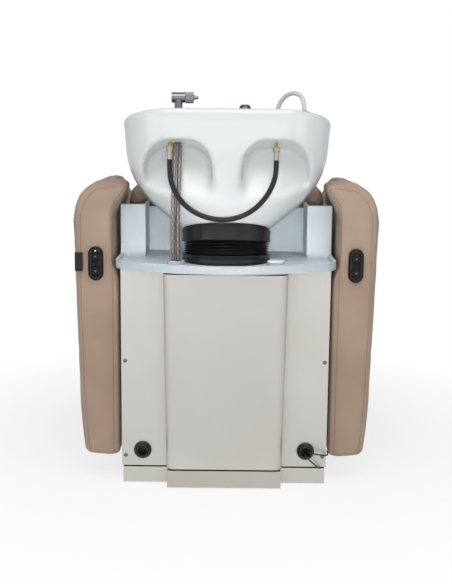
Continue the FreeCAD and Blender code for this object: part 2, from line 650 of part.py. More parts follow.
def basin_shape():
    """The ceramic basin, as two mirrored halves: outer form less bowl, recesses, neck notch and tap holes."""
    near_round = S.foot_ring_radius - S.corner_ease
    outer = Part.makeLoft([
        ring_section(S.foot_ring_radius, S.foot_ring_radius, S.foot_ring_radius, near_round, near_round,
                     basin_foot),
        ring_section(S.belly_half, S.belly_back, S.belly_front, S.belly_corner, S.belly_corner,
                     basin_foot + S.belly_height),
        ring_section(S.flank_half, S.flank_back, S.flank_front, S.flank_corner, S.flank_corner,
                     basin_foot + S.flank_height),
        ring_section(S.apron_half, S.apron_back, S.apron_front, S.rim_corner, S.front_corner, ceiling),
        ring_section(S.rim_half, S.rim_back, S.rim_front, S.rim_corner, S.front_corner, deck)], True, False)
    rim_edges = [edge for edge in outer.Edges if all(abs(v.Z - float(deck)) < 0.01 for v in edge.Vertexes)]
    outer = outer.makeFillet(float(S.rim_round), rim_edges)

    bowl_back = S.rim_back - S.deck_depth
    corner = S.flank_corner - S.bowl_wall * 2
    floor_corner = S.bowl_floor_back - S.corner_ease
    bowl_sections = [
        (S.bowl_floor_half, S.bowl_floor_back, S.bowl_floor_front, floor_corner, floor_corner,
         basin_foot + S.bowl_floor),
        (S.flank_half - S.flank_wall, bowl_back - S.bowl_wall * 2, S.flank_front - S.flank_wall,
         corner - S.bowl_wall,
         corner - S.bowl_wall, basin_foot + S.flank_height),
        (S.apron_half - S.bowl_wall, bowl_back - S.bowl_wall / 2, S.apron_front - S.bowl_wall, corner,
         S.front_corner - S.bowl_wall, ceiling),
        (S.rim_half - S.rim_width, bowl_back, S.rim_front - S.front_rim, corner,
         S.front_corner - S.bowl_wall, deck)]
    bowl = Part.makeLoft([ring_section(*section) for section in bowl_sections], True, False)

    recess_floor = Part.makeLoft([
        ring_section(S.flank_half, S.belly_back + S.bowl_wall, S.flank_front, S.belly_corner,
                     S.belly_corner,
                     basin_foot + S.recess_foot / 2),
        ring_section(S.flank_half + S.bowl_wall, S.recess_back + S.bowl_wall / 2, S.flank_front,
                     S.flank_corner,
                     S.flank_corner, basin_foot + S.flank_height),
        ring_section(S.apron_half + S.bowl_wall, S.recess_back, S.apron_front, S.flank_corner,
                     S.flank_corner,
                     deck)], True, False)
    shape = outer.cut(bowl)
    for sign in SIDES.values():
        shape = shape.cut(recess_prism(sign).cut(recess_floor))

    notch_z = float(deck + S.neck_radius - S.neck_depth)
    notch_start = float(S.rim_front - S.front_rim - S.neck_rest_length)
    notch = Part.makeCylinder(float(S.neck_radius), float(S.neck_rest_length * 3),
                              Vector(0, notch_start, notch_z),
                              Vector(0, 1, 0))
    holes = [Part.makeCylinder(float(S.mixer_shank_radius + S.shank_gap), float(deck - ceiling) * 2,
                               Vector(float(x), float(S.deck_line), float(ceiling - S.shank_gap)))
             for x in (S.mixer_x, S.spray_guide_x)]
    waste = Part.makeCylinder(float(S.waste_radius), float(basin_foot + S.bowl_floor) * 2, Vector(0, 0, 0))
    casting = shape.cut([notch, waste] + holes)
    reach = float(S.rim_half) * 2
    half_block = Part.makeBox(reach, reach * 2, reach * 2, Vector(0, -reach, 0))
    return Part.makeCompound([casting.cut(half_block), casting.common(half_block)])


def recess_prism(sign):
    """An arch-topped prism that reaches in from behind the basin."""
    inner, outer = float(S.recess_inner), float(S.recess_outer)
    corner, top = float(S.recess_corner), float(ceiling)
    foot, start = float(basin_foot + S.recess_foot / 2), -float(S.rim_back) * 2
    slant = corner * (1 - math.sqrt(0.5))
    outline = [(inner, foot), (inner, top - corner), (inner + slant, top - slant), (inner + corner, top),
               (outer - corner, top), (outer - slant, top - slant), (outer, top - corner), (outer, foot)]
    points = [Vector(sign * x, start, z) for x, z in outline]
    edges = [Part.LineSegment(points[0], points[1]), Part.Arc(*points[1:4]),
             Part.LineSegment(points[3], points[4]),
             Part.Arc(*points[4:7]), Part.LineSegment(points[6], points[7]),
             Part.LineSegment(points[7], points[0])]
    face = Part.Face(Part.Wire([edge.toShape() for edge in edges]))
    return face.extrude(Vector(0, -start, 0))


BASIN_PLACE = Placement(Vector(0, float(axis_y), float(S.tilt_axis_z)), BASIN_TURN)
formed("basin", basin_shape(), BASIN_PLACE)

# Moving ears of the tilt hinge, under the basin's foot
bracket = new_body("upper_tilt_bracket")
bracket_half = S.ear_offset + S.ear_thickness
pad(bracket, "XY_Plane", "upper_plate",
    [rectangle(-bracket_half, bracket_half, -2 * S.ear_radius, 2 * S.ear_radius)], S.ear_thickness,
    basin_foot - S.ear_thickness)
hanger = [(-S.ear_radius, 0, -S.ear_radius), (0, -S.ear_radius, -S.ear_radius), (S.ear_radius, 0),
          (S.ear_radius, basin_foot), (-S.ear_radius, basin_foot)]
for name, start in (("left", -bracket_half), ("right", S.ear_offset)):
    pad(bracket, "YZ_Plane", f"upper_ear_{name}", [hanger], S.ear_thickness, start)
drill(bracket, "YZ_Plane", "upper_ear_bores", [(0, 0, S.tilt_pin_radius + S.pin_clearance)])
drill(bracket, "XY_Plane", "upper_waste_hole", [(0, 0, S.waste_radius + S.waste_gap)])
on_basin(bracket)

# Waste fitting through the bowl's floor, and its strainer
bowl_floor = basin_foot + S.bowl_floor
waste_bore = S.waste_radius - S.tube_wall
waste_section = [(waste_bore, -basin_foot), (S.waste_radius - S.waste_gap, -basin_foot),
                 (S.waste_radius - S.waste_gap, bowl_floor), (S.strainer_radius, bowl_floor),
                 (S.strainer_radius, bowl_floor + S.strainer_lip),
                 (waste_bore, bowl_floor + S.strainer_lip)]
on_basin(keep("waste_body", turned("waste_body", waste_section)))
strainer = new_body("waste_strainer")
pad(strainer, "XY_Plane", "strainer_disc", [], S.strainer_lip, 0,
    [(0, 0, S.strainer_radius - S.strainer_lip)])
hole_pitch = (S.strainer_radius - S.strainer_lip) / 3
hole_radius = hole_pitch / 4
grid = [(column * hole_pitch, row * hole_pitch, hole_radius) for column in (-1, 0, 1) for row in (-1, 0, 1)]
drill(strainer, "XY_Plane", "strainer_holes", grid)
on_basin(strainer, z=bowl_floor + S.strainer_lip)

# Neck rest: a soft saddle in the notch of the front rim
rest_outer = S.neck_radius - S.neck_gap
rest_inner = rest_outer - S.neck_rest_wall
rest_start = S.rim_front - S.neck_rest_length + S.neck_rest_wall
notch_centre = deck + S.neck_radius - S.neck_depth
saddle = cut("neck_saddle", rod("neck_outer", rest_outer, S.neck_rest_length, 0, rest_start,
                                notch_centre, ALONG_Y),
             rod("neck_inner", rest_inner, S.neck_rest_length, 0, rest_start, notch_centre, ALONG_Y))
neck_rest = doc.addObject("Part::Common", "neck_rest")
neck_rest.Base = saddle
neck_rest.Tool = box("neck_reach", -rest_outer, rest_start, notch_centre - rest_outer, 2 * rest_outer,
                     S.neck_rest_length, rest_outer - S.neck_radius + S.neck_depth + S.neck_rest_wall / 2)
on_basin(keep("neck_rest", neck_rest))


def bellows_shape():
    """Ribbed rubber sleeve from the tray to the basin's foot, tipped more with each fold, with its bore."""
    foot = Vector(0, float(well_y), float(S.tray_floor))
    head = in_world(0, 0, basin_foot) - BASIN_TURN.multVec(Vector(0, 0, float(S.ear_gap)))
    span = float(head.z - foot.z)
    band, fold = float(S.bellows_band) / span, float(S.bellows_fold)
    crest = float(S.bellows_radius)
    folds = int(S.bellows_folds.value)
    pitch = (1 - 2 * band) / folds
    stations = [(0, crest + fold / 4), (band * 0.8, crest + fold / 4)]
    for number in range(folds):
        start = band + number * pitch
        stations += [(start, crest - fold), (start + pitch * 0.12, crest - fold),
                     (start + pitch * 0.4, crest),
                     (start + pitch * 0.72, crest)]
    stations += [(1 - band, crest - fold), (1 - band * 0.8, crest + fold / 4), (1, crest + fold / 4)]

    def sleeve(inset):
        rings = []
        for share, radius in stations:
            lean = math.radians(float(S.basin_tilt) * share)
            normal = Vector(0, math.sin(lean), math.cos(lean))
            circle = Part.Circle(foot + (head - foot) * share, normal, radius - inset)
            circle.XAxis = Vector(1, 0, 0)
            rings.append(Part.Wire(circle.toShape()))
        return Part.makeLoft(rings, True, True)

    return sleeve(0).cut(sleeve(float(S.bellows_wall)))


formed("bellows", bellows_shape())

# Mixer tap: a column through the deck with a level body, and a ribbed knob on its end
column = fused("mixer_column",
               rod("mixer_shank", S.mixer_shank_radius, deck - ceiling, S.mixer_x, S.deck_line, ceiling),
               rod("mixer_flange", S.mixer_flange_radius, S.tube_wall, S.mixer_x, S.deck_line, deck),
               rod("mixer_neck", S.mixer_column_radius, S.mixer_rise, S.mixer_x, S.deck_line, deck))
body_start = S.mixer_x - S.mixer_body_length / 2
level_body = rod("mixer_level_body", S.mixer_body_radius, S.mixer_body_length, body_start, S.deck_line,
                 deck + S.mixer_rise, ALONG_X)
spindle = rod("mixer_spindle", S.spindle_radius, S.mixer_body_length + S.knob_length * 0.8, body_start,
              S.deck_line,
              deck + S.mixer_rise, ALONG_X)
on_basin(keep("mixer_body", fused("mixer_body", column, level_body, spindle)))


def knob_shape():
    """Ribbed knob about the X axis, with a rounded tip and a bore for the spindle."""
    count = int(S.knob_ribs.value)
    radii = (float(S.knob_radius), float(S.knob_radius - S.knob_rib_depth))
    corners = []
    for step in range(4 * count):
        angle = math.pi * (step + 0.5) / (2 * count)
        radius = radii[(step // 2) % 2]
        corners.append(Vector(0, radius * math.cos(angle), radius * math.sin(angle)))
    grip = Part.Face(Part.makePolygon(corners + corners[:1])).extrude(Vector(float(S.knob_length), 0, 0))
    tip = Part.makeCone(float(S.knob_tip_radius), float(S.knob_tip_radius) / 2, float(S.knob_tip_length),
                        Vector(float(S.knob_length), 0, 0), Vector(1, 0, 0))
    bore = Part.makeCylinder(float(S.spindle_radius + S.pin_clearance), float(S.knob_length) * 0.85,
                             Vector(),
                             Vector(1, 0, 0))
    return grip.fuse(tip).cut(bore)


knob = formed("mixer_knob", knob_shape())
on_basin(knob, S.mixer_x + S.mixer_body_length / 2 + S.knob_gap, S.deck_line, deck + S.mixer_rise)

# Spray: a guide for its hose, and a head that hangs in a holder at the deck's edge
guide_bore = S.spray_hose_radius + S.shank_gap / 2
guide_section = [(guide_bore, ceiling - deck), (S.mixer_shank_radius, ceiling - deck),
                 (S.mixer_shank_radius, 0),
                 (S.mixer_flange_radius, 0), (S.mixer_flange_radius, S.tube_wall),
                 (S.spray_guide_radius, 2 * S.tube_wall),
                 (S.spray_guide_radius - S.tube_wall, S.spray_guide_height),
                 (guide_bore, S.spray_guide_height)]
on_basin(keep("spray_guide", turned("spray_guide", guide_section)), S.spray_guide_x, S.deck_line, deck)
holder = new_body("spray_holder")
holder_inner = S.spray_grip_radius + S.holder_gap
holder_outer = holder_inner + S.holder_wall
arm_half = S.holder_arm_width / 2
pad(holder, "XY_Plane", "holder_ring", [], S.holder_height, deck, [(S.spray_x, S.spray_line, holder_outer)])
pad(holder, "XY_Plane", "holder_arm",
    [rectangle(S.spray_x - arm_half, S.spray_x + arm_half, S.deck_line, S.spray_line)], S.holder_wall, deck)
drill(holder, "XY_Plane", "holder_bore", [(S.spray_x, S.spray_line, holder_inner)])
on_basin(holder)
cap = S.spray_cap_radius
spray_section = [(0, -S.spray_grip_length), (S.spray_hose_radius + S.tube_wall, -S.spray_grip_length),
                 (S.spray_grip_radius, S.holder_height - S.spray_grip_length), (S.spray_grip_radius, 0),
                 (cap, S.tube_wall), (cap, S.spray_cap_height / 2), (cap * 0.7, S.spray_cap_height),
                 (0, S.spray_cap_height + S.tube_wall)]
on_basin(keep("spray_head", turned("spray_head", spray_section)), S.spray_x, S.spray_line,
         deck + S.holder_height)


def routed_tube(name, points, radius):
    """A round tube along straight runs joined by the largest arcs that fit, and its centre line's length."""
    edges = []
    here = points[0]
    radii = []
    for before, corner, after in zip(points, points[1:], points[2:]):
        way_in, way_out = corner - before, after - corner
        turn = way_in.getAngle(way_out)
        reach = 0.45 * min(way_in.Length, way_out.Length)
        radii.append(reach / math.tan(turn / 2))
        start = corner - way_in.normalize() * reach
        stop = corner + way_out.normalize() * reach
        inside = ((start + stop) / 2 - corner).normalize()
        middle = corner + inside * (radii[-1] / math.cos(turn / 2) - radii[-1])
        edges += [Part.LineSegment(here, start).toShape(), Part.Arc(start, middle, stop).toShape()]
        here = stop
    edges.append(Part.LineSegment(here, points[-1]).toShape())
    path = Part.Wire(edges)
    way = points[1] - points[0]
    ring = Part.Wire(Part.Circle(points[0], way, float(radius)).toShape())
    tube = path.makePipeShell([ring], True, False)
    ideal = math.pi * float(radius) ** 2 * path.Length
    print(f"{name}: length {path.Length:.0f}, radii {min(radii):.0f} to {max(radii):.0f}, "
          f"volume {tube.Volume / ideal:.4f} of the ideal")
    return tube


def behind_panel(points):
    """Room points from (x, distance ahead of the side panels, z)."""
    return [Vector(x, float(panel_y) + ahead, z) for x, ahead, z in points]


# Hose ends leave their fittings squarely, along the basin's own axis
BASIN_UP = BASIN_TURN.multVec(Vector(0, 0, 1))
LEAD_UP, LEAD_DOWN = BASIN_UP * float(S.hose_lead), BASIN_UP * -float(S.hose_lead)

# Spray hose, in the basin's frame: out of the guide, over the deck's edge, down in the bowl, up to the head
SPRAY_ROUTE = [(178, -139.5, 346), (157.5, -118, 354), (137.5, -97, 344), (126, -84, 319), (125, -77, 282),
               (123.5, -70, 243), (121, -66, 201), (106.5, -66, 179), (83, -69, 171), (59.5, -77, 179)]
spray_out = in_world(S.spray_guide_x, S.deck_line, deck + S.spray_guide_height)
spray_in = in_world(S.spray_x, S.spray_line, deck + S.holder_height - S.spray_grip_length)
spray_points = [in_world(*point) for point in SPRAY_ROUTE]
formed("spray_hose", routed_tube("spray_hose",
                                 [spray_out, spray_out + LEAD_UP, *spray_points, spray_in + LEAD_DOWN,
                                                spray_in], S.spray_hose_radius))

# Black link hose: it hangs behind the basin between two fittings in the recesses' ceilings
fitting = S.fitting_radius
drop = S.fitting_length
nipples = []
for side, link_x in (("left", S.link_left_x), ("right", S.link_right_x)):
    section = [(0, -drop), (fitting * 0.85, -drop), (fitting * 0.85, -drop / 2), (fitting * 1.1, -drop / 2),
               (fitting * 1.1, -drop / 4), (fitting * 0.6, -drop / 4), (fitting * 0.6, 0), (0, 0)]
    nipples.append(on_basin(turned(f"link_nipple_{side}", section), link_x, S.link_line, ceiling))
group("link_fittings", *nipples)
LINK_ROUTE = [(-136, -79.5, 802), (-123, -79, 772), (-101, -79.5, 744), (-71, -79, 724), (-33, -79.5, 712),
              (7, -79, 711), (45, -79.5, 722), (76, -79, 743), (99, -79.5, 770), (115, -79, 802)]
link_ends = [in_world(link_x, S.link_line, ceiling - drop) for link_x in (S.link_left_x, S.link_right_x)]
formed("link_hose", routed_tube("link_hose", [link_ends[0], link_ends[0] + LEAD_DOWN,
                                              *behind_panel(LINK_ROUTE),
                                              link_ends[1] + LEAD_DOWN, link_ends[1]], S.link_hose_radius))

# Braided supply hoses: from the mixer's underside down into the left collar of the tray
SUPPLY_ROUTES = {
    "hot": [(-118, -52.5, 808), (-119, -59, 760), (-121, -61, 712), (-121, -55, 668), (-120.5, -47, 628),
            (-119.5, -41, 590), (-119, -38, 552)],
    "cold": [(-130, -62, 808), (-131, -70, 760), (-132, -71, 712), (-133, -62, 668), (-133, -50, 628),
             (-132.5, -43, 590), (-132, -41, 552)],
}
SUPPLY_LINES = {"hot": (-117, -135), "cold": (-129, -147)}
for water, route in SUPPLY_ROUTES.items():
    top = in_world(*SUPPLY_LINES[water], ceiling)
    formed(f"{water}_supply_hose", routed_tube(f"{water}_supply_hose",
                                               [top, top + LEAD_DOWN, *behind_panel(route)],
                                               S.supply_hose_radius))

# Drain hose: from the waste fitting, through the tilt plate, to a spigot on the rear cross rail
spigot_bore = S.drain_radius - S.tube_wall
spigot_section = [(spigot_bore, 0), (S.drain_radius, 0), (S.drain_radius, tube), (spigot_bore, tube)]
keep("drain_spigot", turned("drain_spigot", spigot_section, 0, axis_y, rail_top))
DRAIN_ROUTE = [(0, 38, 535), (0, 39, 470), (0, 43, 410), (0, 46.5, 345), (0, 49.6, 280), (0, 52.6, 220)]
drain_top = in_world(0, 0, -basin_foot)
drain_end = Vector(0, float(axis_y), float(rail_top + S.frame_tube))
drain_points = [drain_top, drain_top + LEAD_DOWN * 1.3, *behind_panel(DRAIN_ROUTE),
                drain_end + Vector(0, 0, 2 * float(S.hose_lead)), drain_end]
formed("drain_hose", routed_tube("drain_hose", drain_points, S.waste_radius - S.waste_gap))

# Two thin leads from the right grommet, one round the panel's edge and one into the gap over the plinth
LEAD_ROUTES = {
    "handset_lead": [(217, 6, 94.5), (218, -14, 95.5), (226, -25, 96), (239, -27, 94), (254, -22, 90),
                     (267, -13, 86),
                     (274.5, 0, 83), (276, 14, 82), (276, 30, 84)],
    "mains_lead": [(213, 6, 91.5), (212, -14, 90), (216, -25, 85), (226, -28, 76), (238, -24, 64),
                   (248, -15, 53),
                   (254, -6, 48), (257, 5, 47.4), (260, 18, 47.6)],
}
leads = [routed_tube(name, behind_panel(route), S.lead_radius) for name, route in LEAD_ROUTES.items()]
formed("service_leads", Part.makeCompound(leads))


def rounded_wire(corners, lift):
    """A closed wire through (u, v, radius) corners, each rounded by a tangent arc where its radius isn't zero.

    The lift turns a (u, v) pair into a point of space.
    """
    places = [Vector(float(u), float(v), 0) for u, v, radius in corners]
    ends = []
    for index, (u, v, radius) in enumerate(corners):
        corner = places[index]
        back = (places[index - 1] - corner).normalize()
        ahead = (places[(index + 1) % len(places)] - corner).normalize()
        half = back.getAngle(ahead) / 2
        reach = float(radius) / math.tan(half)
        middle = corner + (back + ahead).normalize() * (float(radius) / math.sin(half) - float(radius))
        ends.append((corner + back * reach, middle, corner + ahead * reach))
    edges = []
    for index, (start, middle, stop) in enumerate(ends):
        if start.distanceToPoint(stop) > 0.001:
            edges.append(Part.Arc(*[lift(point.x, point.y) for point in (start, middle, stop)]))
        after = ends[(index + 1) % len(ends)][0]
        edges.append(Part.LineSegment(lift(stop.x, stop.y), lift(after.x, after.y)))
    return Part.Wire([edge.toShape() for edge in edges])


def drawn_wire(half, low, high, corner, draw):
    """A cushion's plan: round corners, joined by sides that are drawn in and run smoothly into them."""
    half, low, high, corner, draw = (float(item) for item in (half, low, high, corner, draw))
    middle = (low + high) / 2

    def run_out(span):
        """Where a side drawn in over a half span leaves the corner: along the side, and across it."""
        reach = (span ** 2 + draw ** 2) / (2 * draw)
        return corner * (reach - draw) / reach, corner * span / reach

    rise, span = (high - low) / 2 - corner, half - corner
    side_out, side_back = run_out(rise)
    end_out, end_back = run_out(span)
    slant = corner * math.sqrt(0.5)
    quarter = [Vector(span + side_out, rise - side_back, 0), Vector(span + slant, rise + slant, 0),
               Vector(span - end_back, rise + end_out, 0)]

    def turned_to(x_sign, y_sign):
        return [Vector(x_sign * point.x, middle + y_sign * point.y, 0) for point in quarter]

    right_top, left_top, left_low, right_low = (turned_to(*signs) for signs in ((1, 1), (-1, 1),
                                                                                (-1, -1), (1, -1)))
    waist = half - draw
    edges = [Part.Arc(*right_top), Part.Arc(right_top[2], Vector(0, high - draw, 0), left_top[2]),
             Part.Arc(*left_top[::-1]), Part.Arc(left_top[0], Vector(-waist, middle, 0), left_low[0]),
             Part.Arc(*left_low), Part.Arc(left_low[2], Vector(0, low + draw, 0), right_low[2]),
             Part.Arc(*right_low[::-1]), Part.Arc(right_low[0], Vector(waist, middle, 0), right_top[0])]
    return Part.Wire([edge.toShape() for edge in edges])


def padded(wire, thickness, crown, edge_radius):
    """A pad on a plan in the XY plane: its top is crowned and its upper edges are rounded."""
    thickness, crown = float(thickness), float(crown)
    block = Part.Face(wire).extrude(Vector(0, 0, thickness))
    limits = block.BoundBox
    reach = math.hypot(limits.XLength, limits.YLength) / 2
    radius = (reach ** 2 + crown ** 2) / (2 * crown)
    dome = Part.makeSphere(radius, Vector(limits.Center.x, limits.Center.y, thickness - radius))
    block = block.common(dome)
    upper = [edge for edge in block.Edges if edge.BoundBox.ZMin > thickness - 2 * crown]
    return block.makeFillet(float(edge_radius), upper)


# Seat between the arms
seat_half = arm_inner - S.soft_gap
seat_rear, seat_front = panel_y + S.seat_back, front_y - S.seat_setback
board_half = seat_half - S.pad_draw * 2
keep("seat_board", box("seat_board", -board_half, seat_rear + S.pad_corner, seat_rail_top, 2 * board_half,
                       seat_front - seat_rear - 2 * S.pad_corner, S.seat_board_thickness))
seat_plan = drawn_wire(seat_half, seat_rear, seat_front, S.pad_corner, S.pad_draw)
formed("seat_cushion", padded(seat_plan, S.seat_thickness, S.seat_crown, S.pad_edge),
       Placement(Vector(0, 0, float(S.seat_bottom)), Rotation()))

# Backrest: it leans back to the basin, with a cut-out in its top edge for the basin's front
lean = math.radians(float(S.back_lean))
BACK_TURN = Rotation(Vector(-1, 0, 0), Vector(0, -math.sin(lean), math.cos(lean)),
                     Vector(0, math.cos(lean), math.sin(lean)), "XYZ")
BACK_PLACE = Placement(Vector(0, float(panel_y + S.back_foot_y), float(S.back_foot_z)), BACK_TURN)


def back_outline(inset):
    """The backrest's plan, drawn in all round by an inset."""
    half, top = seat_half - inset, S.back_length - inset
    cut_half, cut_floor = S.back_cut_half + inset, S.back_length - S.back_cut_depth - inset
    corner = S.pad_corner - inset
    right = [(half, inset, corner), (half, top, corner), (cut_half, top, corner - S.pad_draw),
             (cut_half - S.back_cut_corner / 4, cut_floor, S.back_cut_corner)]
    left = [(-u, v, radius) for u, v, radius in reversed(right)]
    return rounded_wire(right + left, lambda u, v: Vector(u, v, 0))


formed("backrest_cushion", padded(back_outline(Size("0", 0)), S.back_thickness, S.back_crown,
                                  S.pad_edge), BACK_PLACE)
board = Part.Face(back_outline(S.pad_draw * 2)).extrude(Vector(0, 0, -float(S.back_board_thickness)))
formed("backrest_board", board, BACK_PLACE)


# Arms: a section seen from behind, met by a profile seen from the side
def arm_shape(sign):
    """One padded arm: leaning outer side, a top that slopes down, and a wing at the back that leans in."""
    inner = float(arm_inner)
    outer = inner + float(S.arm_width)
    foot_x = outer - float(S.arm_taper)
    low, top, crown = float(S.arm_bottom), float(S.arm_top), float(S.arm_crown)
    ease_x, ease_z = outer - float(S.arm_chamfer_width), top - float(S.arm_chamfer_drop)
    start = float(panel_y + S.arm_back)
    stop = float(front_y - S.arm_setback)

    def at(x, z):
        return Vector(sign * x, start, z)

    side_middle = at((foot_x + outer) / 2 + float(S.arm_side_crown), (low + ease_z) / 2)
    ease_middle = at((outer + ease_x) / 2 + crown, (ease_z + top) / 2 + crown)
    edges = [Part.LineSegment(at(inner, low), at(foot_x, low)),
             Part.Arc(at(foot_x, low), side_middle, at(outer, ease_z)),
             Part.Arc(at(outer, ease_z), ease_middle, at(ease_x, top)),
             Part.LineSegment(at(ease_x, top), at(inner, top)),
             Part.LineSegment(at(inner, top), at(inner, low))]
    section = Part.Face(Part.Wire([edge.toShape() for edge in edges])).extrude(Vector(0, stop - start, 0))
    rounds = S.arm_front_round
    profile = [(panel_y + S.arm_back, S.arm_bottom, 0),
               (front_y - S.arm_setback, S.arm_bottom, S.pad_corner),
               (front_y - S.arm_setback, S.arm_front_top, rounds),
               (panel_y + S.arm_slope_start, S.arm_top, rounds * 3),
               (panel_y + S.arm_back, S.arm_top, S.arm_back_round)]
    silhouette = Part.Face(rounded_wire(profile, lambda u, v: Vector(0, u, v)))
    arm = section.common(silhouette.extrude(Vector(sign * outer * 2, 0, 0)))
    arm = arm.makeFillet(float(S.arm_round), arm.Edges)
    wing_x = inner - float(S.wing_reach - S.wing_radius)
    wing = Part.makeCylinder(float(S.wing_radius), float(S.wing_length),
                             Vector(sign * wing_x, start, top - float(S.wing_radius)), Vector(0, 1, 0))
    ends = [edge for edge in wing.Edges if edge.isClosed()]
    return arm.fuse(wing.makeFillet(float(S.wing_round), ends))


for side, sign in SIDES.items():
    formed(f"arm_{side}", arm_shape(sign))

# Brackets that carry the arms from the seat rails, and the backrest from the arms
brackets = []
bracket_length, bracket_height = S.tab_length, S.tab_width / 3
for side, sign in SIDES.items():
    rail_side = rail_x + half_tube
    low_x = sign * (rail_side + arm_inner) / 2 - (arm_inner - rail_side) / 2
    for name, bar_y in (("rear", post_y + S.inner_upright_y), ("front", front_post_y - S.inner_upright_y)):
        brackets.append(box(f"arm_bracket_{name}_{side}", low_x, bar_y,
                            seat_rail_top - half_tube - bracket_height / 2,
                            arm_inner - rail_side, bracket_length, bracket_height))
    tie_span = arm_inner - S.back_cut_half
    tie_x = sign * (arm_inner - tie_span / 2) - tie_span / 2
    tie = box(f"back_tie_{side}", tie_x, S.back_length / 4, -S.back_board_thickness - S.tab_thickness,
              tie_span,
              bracket_length, S.tab_thickness)
    holder_tie = fused(f"back_bracket_{side}", tie, box(f"back_tie_lip_{side}", tie_x, S.back_length / 4,
                       -S.back_board_thickness - S.tab_thickness * 2, tie_span, S.tab_thickness,
                                                        S.tab_thickness))
    brackets.append(place(holder_tie, 0, panel_y + S.back_foot_y, S.back_foot_z, BACK_TURN))
group("chair_brackets", *brackets)

# Leg rest: board, cushion and hinge ears, hung from plates on the front posts
board_front = front_y - S.legrest_pad_thickness
board_rear = board_front - S.legrest_board_thickness
hinge_y = board_front - S.legrest_board_thickness / 2
hinge_z = S.legrest_axis_z
legrest_half_board = S.legrest_half - S.pad_draw * 2
keep("legrest_board", box("legrest_board", -legrest_half_board, board_rear, S.legrest_bottom + S.pad_draw,
                          2 * legrest_half_board, S.legrest_board_thickness,
                          S.legrest_top - S.legrest_bottom - 2 * S.pad_draw))
legrest_plan = drawn_wire(S.legrest_half, S.legrest_bottom, S.legrest_top, S.pad_corner, S.pad_draw)
FACING_FRONT = Rotation(Vector(-1, 0, 0), Vector(0, 0, 1), Vector(0, 1, 0), "XYZ")
formed("legrest_cushion", padded(legrest_plan, S.legrest_pad_thickness, S.legrest_crown, S.pad_edge),
       Placement(Vector(0, float(board_front), 0), FACING_FRONT))


def eye(centre_y, centre_z, radius):
    """Three quarters of a round eye, from its foot forwards and over its top."""
    return [(centre_y, centre_z - radius, -radius), (centre_y + radius, centre_z, -radius),
            (centre_y, centre_z + radius, -radius), (centre_y - radius, centre_z)]


def plate(name, outline, start, thickness, bore):
    """An upright plate across X with one round bore."""
    body = bare_body(name)
    pad(body, "YZ_Plane", name + "_pad", [outline], thickness, start)
    drill(body, "YZ_Plane", name + "_bore", [bore])
    return body


front_face = front_post_y + half_tube
eye_radius = S.hinge_eye_radius
plate_outline = [(front_face, rail_top + S.arm_front_top / 4)] + eye(hinge_y, hinge_z, eye_radius) + [
    (front_face, seat_rail_top - eye_radius)]
board_top = S.legrest_top - S.pad_draw
ear_plan = [(board_rear - eye_radius, board_top - S.tab_length), (board_rear, board_top - S.tab_length),
            (board_rear, board_top), (hinge_y + eye_radius, hinge_z, -eye_radius),
            (hinge_y, hinge_z + eye_radius, -eye_radius), (hinge_y - eye_radius, hinge_z)]
hinge_plates = []
legrest_ears = []
steel_pins = list(pins)
thickness = S.hinge_plate_thickness
plate_start = rail_x + thickness / 2
ear_start = plate_start + thickness + S.hinge_gap
hinge_pin_length = 2 * thickness + S.hinge_gap + 2 * S.strainer_lip
for side, sign in SIDES.items():
    def start_of(low):
        return sign * (low + thickness / 2) - thickness / 2
    hinge_plates.append(plate(f"hinge_plate_{side}", plate_outline, start_of(plate_start), thickness,
                              (hinge_y, hinge_z, S.hinge_pin_radius)))
    legrest_ears.append(plate(f"legrest_ear_{side}", ear_plan, start_of(ear_start), thickness,
                              (hinge_y, hinge_z, S.hinge_pin_radius + S.pin_clearance)))
    pin_x = sign * (plate_start - S.strainer_lip + hinge_pin_length / 2) - hinge_pin_length / 2
    steel_pins.append(rod(f"hinge_pin_{side}", S.hinge_pin_radius, hinge_pin_length, pin_x, hinge_y,
                          hinge_z, ALONG_X))
group("hinge_plates", *hinge_plates)

# Leg rest drive: a linear actuator from a bracket on the middle cross rail to a lug on the leg rest board
motor_z = S.motor_pivot_z
lug_y, lug_z = hinge_y - S.drive_setback, hinge_z - S.drive_drop
lug_half = S.lug_thickness / 2
lug_outline = [(lug_y, lug_z - S.lug_radius)] + [(board_rear, lug_z - S.lug_radius),
                                                 (board_rear, lug_z + S.lug_radius),
               (lug_y, lug_z + S.lug_radius, -S.lug_radius), (lug_y - S.lug_radius, lug_z, -S.lug_radius)]
legrest_ears.append(plate("drive_lug", lug_outline, -lug_half, S.lug_thickness,
                          (lug_y, lug_z, S.drive_pin_radius)))
group("legrest_ears", *legrest_ears)

motor_bracket = new_body("motor_bracket")
cheek = S.tab_thickness
cheek_start = lug_half + S.fork_gap
base_half = S.lug_radius * 1.5
cheek_outline = [(motor_y - base_half, rail_top), (motor_y + base_half, rail_top),
                 (motor_y + S.lug_radius, motor_z, -S.lug_radius),
                 (motor_y, motor_z + S.lug_radius, -S.lug_radius),
                 (motor_y - S.lug_radius, motor_z)]
foot_outline = rectangle(motor_y - base_half, motor_y + base_half, rail_top, rail_top + cheek)
pad(motor_bracket, "YZ_Plane", "motor_foot", [foot_outline], 2 * (cheek_start + cheek),
    -cheek_start - cheek)
for name, start in (("left", -cheek_start - cheek), ("right", cheek_start)):
    pad(motor_bracket, "YZ_Plane", f"motor_cheek_{name}", [cheek_outline], cheek, start)
drill(motor_bracket, "YZ_Plane", "motor_bores", [(motor_y, motor_z, S.drive_pin_radius)])
motor_pin_half = cheek_start + cheek + S.strainer_lip
steel_pins.append(rod("motor_pin", S.drive_pin_radius, 2 * motor_pin_half, -motor_pin_half, motor_y,
                      motor_z, ALONG_X))
group("pivot_pins", *steel_pins)

